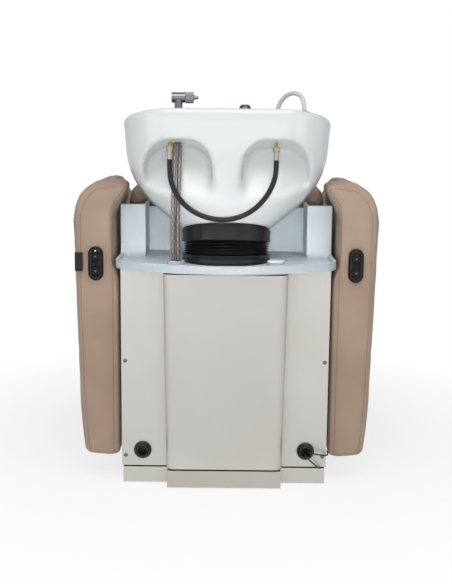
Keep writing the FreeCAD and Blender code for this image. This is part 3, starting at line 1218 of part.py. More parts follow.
# The actuator lies along its own Z axis, from the motor pivot towards the leg rest's lug
drive_angle = math.degrees(math.atan2(float(lug_z - motor_z), float(lug_y - motor_y)))
DRIVE_TURN = Rotation(Vector(1, 0, 0), drive_angle - 90)
drive_length = root((lug_y - motor_y) * (lug_y - motor_y) + (lug_z - motor_z) * (lug_z - motor_z))
tube_end = S.motor_tube_start + S.motor_tube_length
rod_bore = S.rod_radius + S.pin_clearance
tail = fused("motor_tail", box("motor_tongue", -lug_half, -S.lug_radius, 0, S.lug_thickness,
                               2 * S.lug_radius,
                               S.motor_tube_start),
             rod("motor_eye", S.lug_radius, S.lug_thickness, -lug_half, 0, 0, ALONG_X),
             rod("motor_tube", S.motor_tube_radius, S.motor_tube_length, 0, 0, S.motor_tube_start))
actuator = cut("actuator_body", tail,
               rod("motor_eye_bore", S.drive_pin_radius + S.pin_clearance, S.lug_thickness, -lug_half,
                   0, 0, ALONG_X),
               rod("motor_rod_bore", rod_bore, S.rod_inside + S.lug_radius, 0, 0,
                   tube_end - S.rod_inside - S.lug_radius))
place(keep("actuator_body", actuator), 0, motor_y, motor_z, DRIVE_TURN)
bridge_end = drive_length - S.fork_reach
rod_start = tube_end - S.rod_inside
fork_half = lug_half + S.fork_gap + cheek
fork_side = S.rod_radius
fork_block = box("fork_block", -fork_half, -fork_side, bridge_end - cheek, 2 * fork_half, 2 * fork_side,
                 S.fork_reach + cheek + S.lug_radius / 4)
fork_slot = box("fork_slot", -lug_half - S.fork_gap, -fork_side, bridge_end,
                S.lug_thickness + 2 * S.fork_gap,
                2 * fork_side, S.fork_reach + S.lug_radius / 4)
push_rod = fused("actuator_rod", rod("push_rod", S.rod_radius, bridge_end - cheek - rod_start, 0, 0,
                                     rod_start),
                 cut("fork", fork_block, fork_slot))
place(keep("actuator_rod", push_rod), 0, motor_y, motor_z, DRIVE_TURN)

# Handsets on the backs of the arms, each with two sprung buttons
arm_back_y = panel_y + S.arm_back
button_seat = S.button_depth - S.button_travel - S.button_gap
for side, sign in SIDES.items():
    centre = sign * S.handset_x
    half, high, round_x = S.handset_half_width, S.handset_half_height, S.handset_half_width
    low_z, top_z = S.handset_z - high, S.handset_z + high
    outline = [(centre, low_z, -round_x), (centre + half, low_z + round_x),
               (centre + half, top_z - round_x, -round_x),
               (centre, top_z, -round_x), (centre - half, top_z - round_x),
               (centre - half, low_z + round_x, -round_x)]
    shell = bare_body(f"handset_shell_{side}")
    pad(shell, "XZ_Plane", f"handset_pad_{side}", [outline], S.handset_proud, -arm_back_y)
    rear_y = float(arm_back_y - S.handset_proud)
    soften(shell, f"handset_round_{side}", S.handset_proud / 3,
           lambda edge: all(abs(vertex.Y - rear_y) < 0.01 for vertex in edge.Vertexes))
    wells = []
    for name, step in (("up", 1), ("down", -1)):
        button_z = S.handset_z + step * S.button_pitch / 2
        wells.append(rod(f"button_well_{name}_{side}", S.button_radius + S.button_gap, S.button_depth,
                         centre,
                         arm_back_y - S.handset_proud, button_z, ALONG_Y))
        button = [(0, -button_seat), (S.button_radius, -button_seat), (S.button_radius, S.button_proud / 2),
                  (S.button_radius - S.button_proud, S.button_proud), (0, S.button_proud)]
        label = f"button_{name}_{side}"
        keep(label, turned(label, button, centre, arm_back_y - S.handset_proud, button_z, BACKWARDS))
    keep(f"handset_{side}", cut(f"handset_{side}", shell, *wells))

# A plain tag sewn into the left arm's outer back seam
tag_x = S.tag_length - arm_inner - S.arm_width
keep("side_tag", box("side_tag", tag_x - S.tag_length, arm_back_y - S.tag_thickness,
                     S.tag_z - S.tag_height / 2,
                     S.tag_length + S.tag_thickness, S.tag_thickness, S.tag_height))

# Check every object, then write each node
doc.recompute()
failed = [item.Name for item in doc.Objects if "Invalid" in item.State or "Error" in item.State]
failed += [label for label, item in nodes.items() if item.Shape.isNull() or not item.Shape.isValid()]
if failed:
    raise RuntimeError("failed: " + ", ".join(failed))
os.makedirs("parts", exist_ok=True)
for label, item in nodes.items():
    item.Shape.exportStep(f"parts/{label}.step")
print(len(nodes), "nodes")
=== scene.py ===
"""Looks of a salon backwash unit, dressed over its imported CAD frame.

A tilting ceramic basin stands on a rubber bellows over a moulded tray and a satin steel cabinet.
Ahead of it is a padded seat between two padded arms, with a leaning backrest and a powered leg rest.
Lengths are in metres in the frame of the CAD model: X to the right seen from the hairdresser's side,
-Y towards the hairdresser, Z up from the floor.
"""

import logging
import math
from collections.abc import Callable, Iterator, Mapping, Sequence
from contextlib import contextmanager
from dataclasses import dataclass, field
from enum import Enum

import bmesh
import bpy
import numpy as np
from bpy.types import ID, Curve, Material, Mesh, MeshPolygon, Node, NodeSocket, NodeTree, Object
from mathutils import Matrix, Vector
from mathutils.bvhtree import BVHTree


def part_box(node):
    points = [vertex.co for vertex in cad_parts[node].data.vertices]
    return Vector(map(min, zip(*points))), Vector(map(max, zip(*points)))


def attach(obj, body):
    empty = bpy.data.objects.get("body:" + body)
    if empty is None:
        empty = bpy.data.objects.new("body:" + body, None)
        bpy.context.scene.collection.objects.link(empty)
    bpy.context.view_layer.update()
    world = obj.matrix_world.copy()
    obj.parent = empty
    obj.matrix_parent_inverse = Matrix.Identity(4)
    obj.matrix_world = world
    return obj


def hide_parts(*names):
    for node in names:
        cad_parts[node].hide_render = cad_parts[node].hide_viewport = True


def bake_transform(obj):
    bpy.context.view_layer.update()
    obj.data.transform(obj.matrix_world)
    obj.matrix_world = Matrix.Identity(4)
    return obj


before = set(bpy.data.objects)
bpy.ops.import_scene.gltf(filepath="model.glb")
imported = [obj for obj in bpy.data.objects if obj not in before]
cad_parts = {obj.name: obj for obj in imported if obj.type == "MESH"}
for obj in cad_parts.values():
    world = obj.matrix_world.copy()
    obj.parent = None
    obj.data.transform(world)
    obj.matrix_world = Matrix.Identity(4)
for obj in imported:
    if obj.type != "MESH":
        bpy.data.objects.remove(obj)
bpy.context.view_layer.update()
LOG = logging.getLogger("backwash_unit")

MM = 0.001
PALE = 0.5  # share of the white room that gloss mirrors, so that plated edges stand out from it
PANEL_Y = -0.4725  # back face of the side panels
TILT_AXIS = Vector((0.0, -0.4185, 0.650))
BASIN_LEAN = math.radians(14.0)
BASIN_UP = Vector((0.0, math.sin(BASIN_LEAN), math.cos(BASIN_LEAN)))
BASIN_AHEAD = Vector((0.0, math.cos(BASIN_LEAN), -math.sin(BASIN_LEAN)))
JOINED = 1e-5  # distance at which a CAD node's loose triangles are joined
FLAT, ROUNDED = math.radians(3), math.radians(35)  # bends taken for one face, and for an edge
CRISP = 40  # degrees above which a rounded piece keeps a crisp edge
EDGE_STEPS, CORNER_STEPS = 3, 8  # facets across a rounded edge and a rounded corner
SHARE, FIRST, SECOND, MIXED = 0, 6, 7, 2  # a colour Mix node's inputs and its output
WHITE = "#FFFFFF"

Point = tuple[float, float, float]


def srgb(code: str) -> tuple[float, float, float, float]:
    """Turn an sRGB hex value into linear colour with full alpha.

    Args:
        code: Six hex digits with a leading hash sign.

    Returns:
        Linear red, green, blue and alpha.
    """
    parts = [int(code[start:start + 2], 16) / 255 for start in (1, 3, 5)]
    red, green, blue = (part / 12.92 if part <= 0.04045 else ((part + 0.055) / 1.055) ** 2.4
                        for part in parts)
    return red, green, blue, 1.0


def per_mm(size: float) -> float:
    """Texture scale whose features are about size millimetres across, on coordinates in metres."""
    return 1000.0 / size


def basin_point(x: float, y: float, z: float) -> Vector:
    """Place a point of the tilted basin's own frame in the room.

    Args:
        x: Millimetres to the right of the tilt axis's middle.
        y: Millimetres ahead of the axis, along the basin.
        z: Millimetres above the axis, square to the basin's rim.

    Returns:
        The point in the row frame, in metres.
    """
    return TILT_AXIS + Vector((x * MM, 0.0, 0.0)) + BASIN_AHEAD * (y * MM) + BASIN_UP * (z * MM)


def behind_panel(x: float, ahead: float, z: float) -> Vector:
    """Point at (x, distance ahead of the side panels, z), from millimetres to metres."""
    return Vector((x * MM, PANEL_Y + ahead * MM, z * MM))


def feed(tree: NodeTree, node: Node, inputs: dict) -> None:
    """Set or link a node's inputs: values, output sockets, or nodes for their first output."""
    for key, value in inputs.items():
        if isinstance(value, Node):
            value = value.outputs[0]
        if isinstance(value, NodeSocket):
            tree.links.new(value, node.inputs[key])
        else:
            node.inputs[key].default_value = value


def add_node(tree: NodeTree, kind: str, inputs: dict | None = None, **settings: object) -> Node:
    """Add a node with its settings, and set or link its inputs.

    Args:
        tree: The node tree that gets the node.
        kind: The node's type name.
        inputs: Values, output sockets or nodes, by the input socket's name or index.
        settings: Properties of the node itself.

    Returns:
        The new node.
    """
    made = tree.nodes.new(kind)
    for key, value in settings.items():
        setattr(made, key, value)
    feed(tree, made, inputs or {})
    return made


def seen_share(tree: NodeTree) -> NodeSocket:
    """How plainly a ray shows the white backdrop: fully to the camera, paler in gloss."""
    path = add_node(tree, "ShaderNodeLightPath").outputs
    mirrored = add_node(tree, "ShaderNodeMath",
                        {0: path["Is Glossy Ray"], 1: PALE, 2: path["Is Camera Ray"]},
                        operation="MULTIPLY_ADD")
    seen = add_node(tree, "ShaderNodeMath",
                    {0: mirrored, 1: path["Is Transmission Ray"]},
                    operation="ADD", use_clamp=True)
    return seen.outputs["Value"]


@contextmanager
def edited(mesh: Mesh) -> Iterator[bmesh.types.BMesh]:
    """Open a mesh for editing and write it back at the end."""
    shape = bmesh.new()
    shape.from_mesh(mesh)
    yield shape
    shape.to_mesh(mesh)
    shape.free()


def new_object(name: str, data: ID) -> Object:
    """Link a mesh, camera or lamp into the scene as a new object at the origin."""
    made = bpy.data.objects.new(name, data)
    bpy.context.scene.collection.objects.link(made)
    return made


def turn_outwards(mesh: Mesh) -> None:
    """Merge doubled points of a mesh and turn all its faces outwards."""
    with edited(mesh) as shape:
        bmesh.ops.remove_doubles(shape, verts=shape.verts, dist=JOINED / 10)
        bmesh.ops.recalc_face_normals(shape, faces=shape.faces)


def mesh_object(name: str, points: Sequence[Sequence[float]],
                faces: Sequence[Sequence[int]]) -> Object:
    """Make an object from points and faces, with its faces turned outwards.

    Args:
        name: Name of the object and its mesh.
        points: Vertices in the row frame.
        faces: Vertex numbers of each face.

    Returns:
        The new object.
    """
    mesh = bpy.data.meshes.new(name)
    mesh.from_pydata([tuple(point) for point in points], [], [tuple(face) for face in faces])
    turn_outwards(mesh)
    return new_object(name, mesh)


def mesh_of(curve: Curve) -> Mesh:
    """Turn a curve into a mesh and let the curve go."""
    holder = bpy.data.objects.new(curve.name, curve)
    mesh = bpy.data.meshes.new_from_object(holder)
    bpy.data.objects.remove(holder)
    bpy.data.curves.remove(curve)
    return mesh


def ring_faces(rows: int, sides: int, closed: bool = False) -> list[tuple[int, ...]]:
    """Faces between the rings of a turned shape.

    Args:
        rows: Number of rings, which follow one another in the list of points.
        sides: Points in each ring.
        closed: Whether the last ring joins the first.

    Returns:
        Point numbers of each face, ring by ring.
    """
    faces = []
    for row in range(rows if closed else rows - 1):
        low, high = row * sides, (row + 1) % rows * sides
        for step in range(sides):
            after = (step + 1) % sides
            faces.append((low + step, low + after, high + after, high + step))
    return faces


def merged_copy(node: str, name: str) -> Object:
    """Copy a CAD node's mesh into a new object, with its loose triangles joined.

    Args:
        node: The CAD node to copy.
        name: Name of the new object.

    Returns:
        The copy, free of materials and at the origin.
    """
    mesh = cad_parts[node].data.copy()
    mesh.name = name
    mesh.materials.clear()
    with edited(mesh) as shape:
        bmesh.ops.remove_doubles(shape, verts=shape.verts, dist=JOINED)
    for layer in list(mesh.uv_layers):
        mesh.uv_layers.remove(layer)
    return new_object(name, mesh)


def bake_modifiers(piece: Object) -> Object:
    """Turn a piece's evaluated result into its plain mesh and remove its modifiers.

    Args:
        piece: An object with live modifiers.

    Returns:
        The same object, now without modifiers.
    """
    graph = bpy.context.evaluated_depsgraph_get()
    baked = bpy.data.meshes.new_from_object(piece.evaluated_get(graph), depsgraph=graph,
                                            preserve_all_data_layers=True)
    piece.modifiers.clear()
    old, piece.data = piece.data, baked
    baked.name = piece.name
    bpy.data.meshes.remove(old)
    return piece


def shade(piece: Object, sharp_degrees: float | None = None) -> Object:
    """Shade a mesh smooth, leaving edges sharper than an angle crisp when one is given."""
    piece.data.polygons.foreach_set("use_smooth", np.ones(len(piece.data.polygons), bool))
    if sharp_degrees is not None:
        piece.data.set_sharp_from_angle(angle=math.radians(sharp_degrees))
    return piece


def eased(piece: Object, passes: int, chosen: np.ndarray | None = None) -> Object:
    """Smooth a piece, after any modifier that it already has.

    Args:
        piece: The piece.
        passes: Rounds of smoothing.
        chosen: Which of its points are smoothed, where not all are.

    Returns:
        The same piece with a plain mesh.
    """
    ease = piece.modifiers.new("eased", "SMOOTH")
    ease.factor = 0.5
    ease.iterations = passes
    if chosen is not None:
        group = piece.vertex_groups.new(name="eased")
        group.add(np.flatnonzero(chosen).tolist(), 1.0, "REPLACE")
        ease.vertex_group = group.name
    bake_modifiers(piece)
    piece.vertex_groups.clear()
    return piece


def even_mesh(piece: Object, grid: float, passes: int) -> Object:
    """Give a piece an even mesh of a grid's size and smooth it by some passes."""
    even = piece.modifiers.new("even_grid", "REMESH")
    even.mode = "VOXEL"
    even.voxel_size = grid
    return eased(piece, passes)


def columns(items: Sequence, name: str) -> np.ndarray:
    """Read a vector of every item of a mesh into an array with three columns."""
    flat = np.empty(len(items) * 3, np.float32)
    items.foreach_get(name, flat)
    return flat.reshape(-1, 3).astype(float)


def coordinates(mesh: Mesh) -> np.ndarray:
    """Vertex places of a mesh as an array with three columns."""
    return columns(mesh.vertices, "co")


def vertex_normals(mesh: Mesh) -> np.ndarray:
    """Vertex normals of a mesh as an array with three columns."""
    return columns(mesh.vertex_normals, "vector")


def set_coordinates(mesh: Mesh, places: np.ndarray) -> None:
    """Write vertex places back to a mesh."""
    mesh.vertices.foreach_set("co", places.astype(np.float32).ravel())
    mesh.update()


def softened(node: str, name: str, width: float,
             corners: Callable[[bmesh.types.BMEdge], bool] | None = None,
             corner_radius: float = 0.0) -> Object:
    """Copy a rigid CAD node with its edges rounded, as a moulding or a folded sheet has them.

    Args:
        node: The CAD node to copy.
        name: Name of the new piece.
        width: Edge rounding in metres.
        corners: Picks the edges that get a larger rounding first, if any.
        corner_radius: Size of that rounding.

    Returns:
        The rounded copy.
    """
    piece = merged_copy(node, name)
    with edited(piece.data) as shape:
        bmesh.ops.dissolve_limit(shape, angle_limit=FLAT, verts=shape.verts, edges=shape.edges)
        if corners:
            bmesh.ops.bevel(shape, geom=[edge for edge in shape.edges if corners(edge)],
                            offset=corner_radius, segments=CORNER_STEPS, profile=0.5, affect="EDGES")
    rounding = piece.modifiers.new("edge_rounding", "BEVEL")
    rounding.width = width
    rounding.segments = EDGE_STEPS
    rounding.limit_method = "ANGLE"
    rounding.angle_limit = ROUNDED
    rounding.use_clamp_overlap = True
    shade(bake_modifiers(piece), CRISP)
    flat = piece.modifiers.new("flat_faces", "WEIGHTED_NORMAL")
    flat.keep_sharp = True
    return bake_modifiers(piece)


def scatter(piece: Object, finish: Material, sizes: dict[str, float],
            design: Callable[[NodeTree, Mapping[str, NodeSocket]], dict[str, object]]) -> Object:
    """Set copies of one small shape on a piece's points with a node tree.

    Args:
        piece: Object whose points or edges say where the copies stand.
        finish: Material of the copies.
        sizes: Sizes that the node tree takes as named inputs.
        design: Adds the small shape's nodes and gives the inputs that place it.

    Returns:
        The piece, baked to the copies' plain mesh.
    """
    tree = bpy.data.node_groups.new(f"{piece.name}_tree", "GeometryNodeTree")
    kinds = {"Places": "Geometry"} | dict.fromkeys(sizes, "Float") | {"Finish": "Material"}
    sockets = {name: tree.interface.new_socket(name, in_out="INPUT", socket_type=f"NodeSocket{kind}")
               for name, kind in kinds.items()}
    tree.interface.new_socket("Copies", in_out="OUTPUT", socket_type="NodeSocketGeometry")
    given = add_node(tree, "NodeGroupInput").outputs
    spread = add_node(tree, "GeometryNodeInstanceOnPoints", design(tree, given))
    real = add_node(tree, "GeometryNodeRealizeInstances", {0: spread})
    shown = add_node(tree, "GeometryNodeSetMaterial", {0: real, "Material": given["Finish"]})
    add_node(tree, "NodeGroupOutput", {0: shown})
    maker = piece.modifiers.new("copies", "NODES")
    maker.node_group = tree
    for name, value in (sizes | {"Finish": finish}).items():
        maker[sockets[name].identifier] = value
    return bake_modifiers(piece)


def dress(piece: Object, finish: Material) -> Object:
    """Give a piece one finish all over."""
    piece.data.materials.clear()
    piece.data.materials.append(finish)
    return piece


def dress_some(piece: Object, finish: Material, chosen: Callable[[MeshPolygon], bool]) -> None:
    """Give the chosen faces of a dressed piece a second finish."""
    piece.data.materials.append(finish)
    picks = [int(chosen(face)) for face in piece.data.polygons]
    piece.data.polygons.foreach_set("material_index", picks)


def dress_nodes(finish: Material, *nodes: str) -> None:
    """Give CAD nodes that stay in view one finish each."""
    for name in nodes:
        dress(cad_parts[name], finish)


class Slot(Enum):
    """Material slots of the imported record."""

    STAINLESS = "satin_stainless"
    TRAY = "tray_plastic"
    CERAMIC = "white_ceramic"
    RUBBER = "black_rubber"
    LEATHER = "leatherette"
    CHROME = "chrome"
    DARK_CHROME = "dark_chrome"
    DRAIN = "drain_pvc"
    HOSE = "grey_hose"
    BRAID = "braided_steel"
    BRASS = "brass"
    GLOSS = "black_gloss"
    BUTTON = "button_plastic"
    CABLE = "black_cable"
    TAPE = "black_tape"


def seat_on(piece: Object, body: str, slot: Slot, *nodes: str) -> Object:
    """Let a finished piece ride on a body and stand for CAD nodes, which it hides."""
    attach(piece, body)
    if nodes:
        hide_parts(*nodes)
    LOG.info("%s rides on %s, %d faces", piece.name, body, len(piece.data.polygons))
    return piece


def stand_in(node: str, name: str, width: float, finish: Material, slot: Slot,
             body: str = "base") -> Object:
    """Put a rounded, finished copy in a rigid CAD node's place.

    Args:
        node: The CAD node.
        name: Name of the piece.
        width: Rounding of its edges.
        finish: Its material.
        slot: Its material slot, passed on but not used.
        body: The body that it rides on.

    Returns:
        The piece.
    """
    return seat_on(dress(softened(node, name, width), finish), body, slot, node)


@dataclass(frozen=True)
class Finish:
    """A plain moulded or painted surface, and the start of every richer one.

    Attributes:
        name: Name of the material, after the real one.
        colour: Its sRGB hex colour.
        roughness: Roughness of the surface.
        speck: Size in millimetres of the fine unevenness that breaks up its highlights.
        shine: Specular level of the surface.
    """

    name: str
    colour: str
    roughness: float
    speck: float = 2.5
    shine: float = 0.5

    def build(self) -> Material:
        """Make the material from its constants and what its look adds to them.

        Returns:
            The material.
        """
        made = bpy.data.materials.new(self.name)
        made.use_nodes = True
        tree = made.node_tree
        tree.nodes.clear()
        shader = add_node(tree, "ShaderNodeBsdfPrincipled",
                          {"Base Color": srgb(self.colour), "Roughness": self.roughness,
                           "Specular IOR Level": self.shine})
        add_node(tree, "ShaderNodeOutputMaterial", {"Surface": shader})
        places = add_node(tree, "ShaderNodeTexCoord").outputs["Object"]
        feed(tree, shader, self.look(tree, places))
        return made

    def look(self, tree: NodeTree, places: NodeSocket) -> dict[str, object]:
        """A fine spark-eroded mould surface: an even colour whose highlight is softly broken up.

        Args:
            tree: The material's node tree.
            places: Object coordinates in metres.

        Returns:
            Values, sockets and nodes for the shader's inputs.
        """
        grain = add_node(tree, "ShaderNodeTexNoise",
                         {"Vector": places, "Scale": per_mm(self.speck), "Detail": 2.0})
        relief = add_node(tree, "ShaderNodeBump", {"Height": grain, "Strength": 0.12,
                                                   "Distance": 0.2 * MM})
        haze = add_node(tree, "ShaderNodeTexNoise",
                        {"Vector": places, "Scale": per_mm(70.0), "Detail": 3.0})
        level = add_node(tree, "ShaderNodeMapRange",
                         {"Value": haze, "To Min": self.roughness - 0.05,
                          "To Max": self.roughness + 0.05})
        return {"Normal": relief, "Roughness": level}


@dataclass(frozen=True)
class Leatherette(Finish):
    """Coated upholstery cloth with a pebble grain.

    Attributes:
        worn: Hex colour of the slightly lighter, stretched places.
        pebbles: Width of a pebble in millimetres. Real ones are about 1 mm wide; these are drawn as
            fine as the picture's scale can show.
    """

    worn: str = "#B09987"
    pebbles: float = 2.6

    def look(self, tree: NodeTree, places: NodeSocket) -> dict[str, object]:
        """A soft satin skin: cloudy tones a hand wide, and a pebbled grain that breaks the sheen."""
        cloud = add_node(tree, "ShaderNodeTexNoise",
                         {"Vector": places, "Scale": per_mm(160.0), "Detail": 4.0})
        tone = add_node(tree, "ShaderNodeMapRange", {"Value": cloud, "From Min": 0.3, "From Max": 0.7})
        blend = add_node(tree, "ShaderNodeMix", {SHARE: tone, FIRST: srgb(self.colour),
                                                 SECOND: srgb(self.worn)}, data_type="RGBA")
        pebble = add_node(tree, "ShaderNodeTexVoronoi",
                          {"Vector": places, "Scale": per_mm(self.pebbles)})
        relief = add_node(tree, "ShaderNodeBump", {"Height": pebble,
                                                   "Strength": 0.22, "Distance": 0.35 * MM})
        sheen = add_node(tree, "ShaderNodeMapRange",
                         {"Value": cloud, "To Min": self.roughness - 0.06,
                          "To Max": self.roughness + 0.08})
        return {"Base Color": blend.outputs[MIXED], "Normal": relief, "Roughness": sheen}


@dataclass(frozen=True)
class GlazedCeramic(Finish):
    """Fired white glaze over cast fireclay."""

    def look(self, tree: NodeTree, places: NodeSocket) -> dict[str, object]:
        """A bright clear gloss over white, with the slow waviness of fired glaze in its reflections."""
        wave = add_node(tree, "ShaderNodeTexNoise",
                        {"Vector": places, "Scale": per_mm(75.0), "Detail": 1.0})
        relief = add_node(tree, "ShaderNodeBump", {"Height": wave, "Strength": 0.25,
                                                   "Distance": 1.2 * MM})
        return {"Normal": relief, "Coat Weight": 0.35, "Coat Roughness": 0.03}


@dataclass(frozen=True)
class BrushedMetal(Finish):
    """Sheet metal brushed one way.

    Attributes:
        streak: Length and width of the brush lines in millimetres. Real ones are a tenth of a
            millimetre wide; these are drawn as fine as the picture's scale can show.
        handled: Hex colour of the slightly duller patches.
    """

    streak: tuple[float, float] = (140.0, 2.2)
    handled: str = "#CECBC5"

    def look(self, tree: NodeTree, places: NodeSocket) -> dict[str, object]:
        """Satin sheet: fine upright lines spread reflections sideways, over faint handled patches."""
        length, width = self.streak
        stretched = add_node(tree, "ShaderNodeMapping",
                             {"Vector": places, "Scale": (1.0, 1.0, width / length)})
        line = add_node(tree, "ShaderNodeTexNoise", {"Vector": stretched,
                                                     "Scale": per_mm(width), "Detail": 2.0})
        patch = add_node(tree, "ShaderNodeTexNoise",
                         {"Vector": places, "Scale": per_mm(210.0), "Detail": 3.0})
        blend = add_node(tree, "ShaderNodeMix", {SHARE: patch, FIRST: srgb(self.colour),
                                                 SECOND: srgb(self.handled)}, data_type="RGBA")
        level = add_node(tree, "ShaderNodeMapRange",
                         {"Value": line, "To Min": self.roughness - 0.06,
                          "To Max": self.roughness + 0.06})
        relief = add_node(tree, "ShaderNodeBump", {"Height": line, "Strength": 0.05,
                                                   "Distance": 0.1 * MM})
        return {"Metallic": 1.0, "Base Color": blend.outputs[MIXED], "Normal": relief,
                "Roughness": level, "Anisotropic": 0.4}


@dataclass(frozen=True)
class PolishedMetal(Finish):
    """Plated or turned metal."""

    def look(self, tree: NodeTree, places: NodeSocket) -> dict[str, object]:
        """A mirror with faint wiping marks, so that its reflections aren't perfectly clean."""
        wipe = add_node(tree, "ShaderNodeTexNoise",
                        {"Vector": places, "Scale": per_mm(9.0), "Detail": 3.0})
        level = add_node(tree, "ShaderNodeMapRange",
                         {"Value": wipe, "To Min": self.roughness,
                          "To Max": self.roughness + 0.07})
        return {"Metallic": 1.0, "Roughness": level}


@dataclass(frozen=True)
class BraidedWire(Finish):
    """Stainless wire braid over a rubber hose, laid out on the hose's own UV map.

    Attributes:
        gap: Hex colour of the shaded gaps between the wires.
        turns: Wire bundles round the hose. Real bundles are under 2 mm wide; eight of them is the
            finest that shows at this scale.
        pitch: Metres of hose in which the braid moves on by one bundle.
    """

    gap: str = "#857D76"
    turns: float = 8.0
    pitch: float = 0.009

    def look(self, tree: NodeTree, places: NodeSocket) -> dict[str, object]:
        """Two crossing sets of bright wire bundles with dark gaps between them."""
        chart = add_node(tree, "ShaderNodeUVMap", uv_map="hose")
        around = add_node(tree, "ShaderNodeSeparateXYZ", {0: chart})
        wires: list[NodeSocket] = []
        for hand in (1.0, -1.0):
            lift = add_node(tree, "ShaderNodeMath", {0: around.outputs["Y"], 1: hand / self.pitch},
                            operation="MULTIPLY")
            turn = add_node(tree, "ShaderNodeMath",
                            {0: around.outputs["X"], 1: self.turns, 2: lift},
                            operation="MULTIPLY_ADD")
            wave = add_node(tree, "ShaderNodeMath", {0: turn, 1: 1.0}, operation="PINGPONG")
            wires.append(wave.outputs["Value"])
        top = add_node(tree, "ShaderNodeMath", {0: wires[0], 1: wires[1]}, operation="MULTIPLY")
        blend = add_node(tree, "ShaderNodeMix", {SHARE: top, FIRST: srgb(self.gap),
                                                 SECOND: srgb(self.colour)}, data_type="RGBA")
        relief = add_node(tree, "ShaderNodeBump", {"Height": top, "Strength": 0.25,
                                                   "Distance": 0.4 * MM})
        return {"Metallic": 1.0, "Base Color": blend.outputs[MIXED], "Normal": relief}


@dataclass(frozen=True)
class Plywood(Finish):
    """Birch plywood.

    Attributes:
        vein: Hex colour of the darker grain.
    """

    vein: str = "#A9835A"

    def look(self, tree: NodeTree, places: NodeSocket) -> dict[str, object]:
        """Pale wood with long soft grain lines along the board."""
        stretched = add_node(tree, "ShaderNodeMapping", {"Vector": places, "Scale": (0.06, 1.0, 1.0)})
        grain = add_node(tree, "ShaderNodeTexNoise",
                         {"Vector": stretched, "Scale": per_mm(9.0), "Detail": 5.0,
                          "Distortion": 0.4})
        blend = add_node(tree, "ShaderNodeMix", {SHARE: grain, FIRST: srgb(self.colour),
                                                 SECOND: srgb(self.vein)}, data_type="RGBA")
        return {"Base Color": blend.outputs[MIXED]}


@dataclass(frozen=True)
class WovenTape(Finish):
    """Narrow woven tape.

    Attributes:
        bands: Scale of its ribs, which gives 12.6 mm from rib to rib. Real ones are half a millimetre
            apart and wouldn't show.
    """

    bands: float = 25.0

    def look(self, tree: NodeTree, places: NodeSocket) -> dict[str, object]:
        """Black ribs across the tape that catch a little light."""
        rib = add_node(tree, "ShaderNodeTexWave",
                       {"Vector": places, "Scale": self.bands}, bands_direction="Z")
        relief = add_node(tree, "ShaderNodeBump", {"Height": rib.outputs["Fac"], "Strength": 0.5,
                                                   "Distance": 0.3 * MM})
        return {"Normal": relief}


@dataclass(frozen=True)
class Glow(Finish):
    """A small indicator lamp."""

    def look(self, tree: NodeTree, places: NodeSocket) -> dict[str, object]:
        """A pale lens with a faint light behind it."""
        return {"Emission Color": srgb(self.colour), "Emission Strength": 0.6}


@dataclass(frozen=True)
class StudioFloor(Finish):
    """White paper under the unit.

    Attributes:
        near: Distance from the unit's middle up to which its shadow shows most.
        far: Distance from which the paper is plain white.
        shadow: Share of the shadow that shows next to the unit.
    """

    near: float = 0.5
    far: float = 1.2
    shadow: float = 0.22

    def look(self, tree: NodeTree, places: NodeSocket) -> dict[str, object]:
        """White paper that keeps a soft shadow beside the unit and runs into the white backdrop."""
        away = add_node(tree, "ShaderNodeVectorMath", {0: places}, operation="LENGTH")
        share = add_node(tree, "ShaderNodeMapRange",
                         {"Value": away.outputs["Value"], "From Min": self.near, "From Max": self.far,
                          "To Min": 1.0 - self.shadow, "To Max": 1.0})
        white = add_node(tree, "ShaderNodeMath", {0: seen_share(tree), 1: share}, operation="MULTIPLY")
        paper = add_node(tree, "ShaderNodeEmission", {"Color": srgb(WHITE), "Strength": 1.0})
        output = tree.get_output_node("ALL")
        shaded = output.inputs["Surface"].links[0].from_socket
        blend = add_node(tree, "ShaderNodeMixShader", {0: white, 1: shaded, 2: paper})
        feed(tree, output, {"Surface": blend})
        return {}


def built(finish: Finish) -> Material:
    """Field of the palette whose finish is built along with it."""
    return field(default_factory=finish.build)


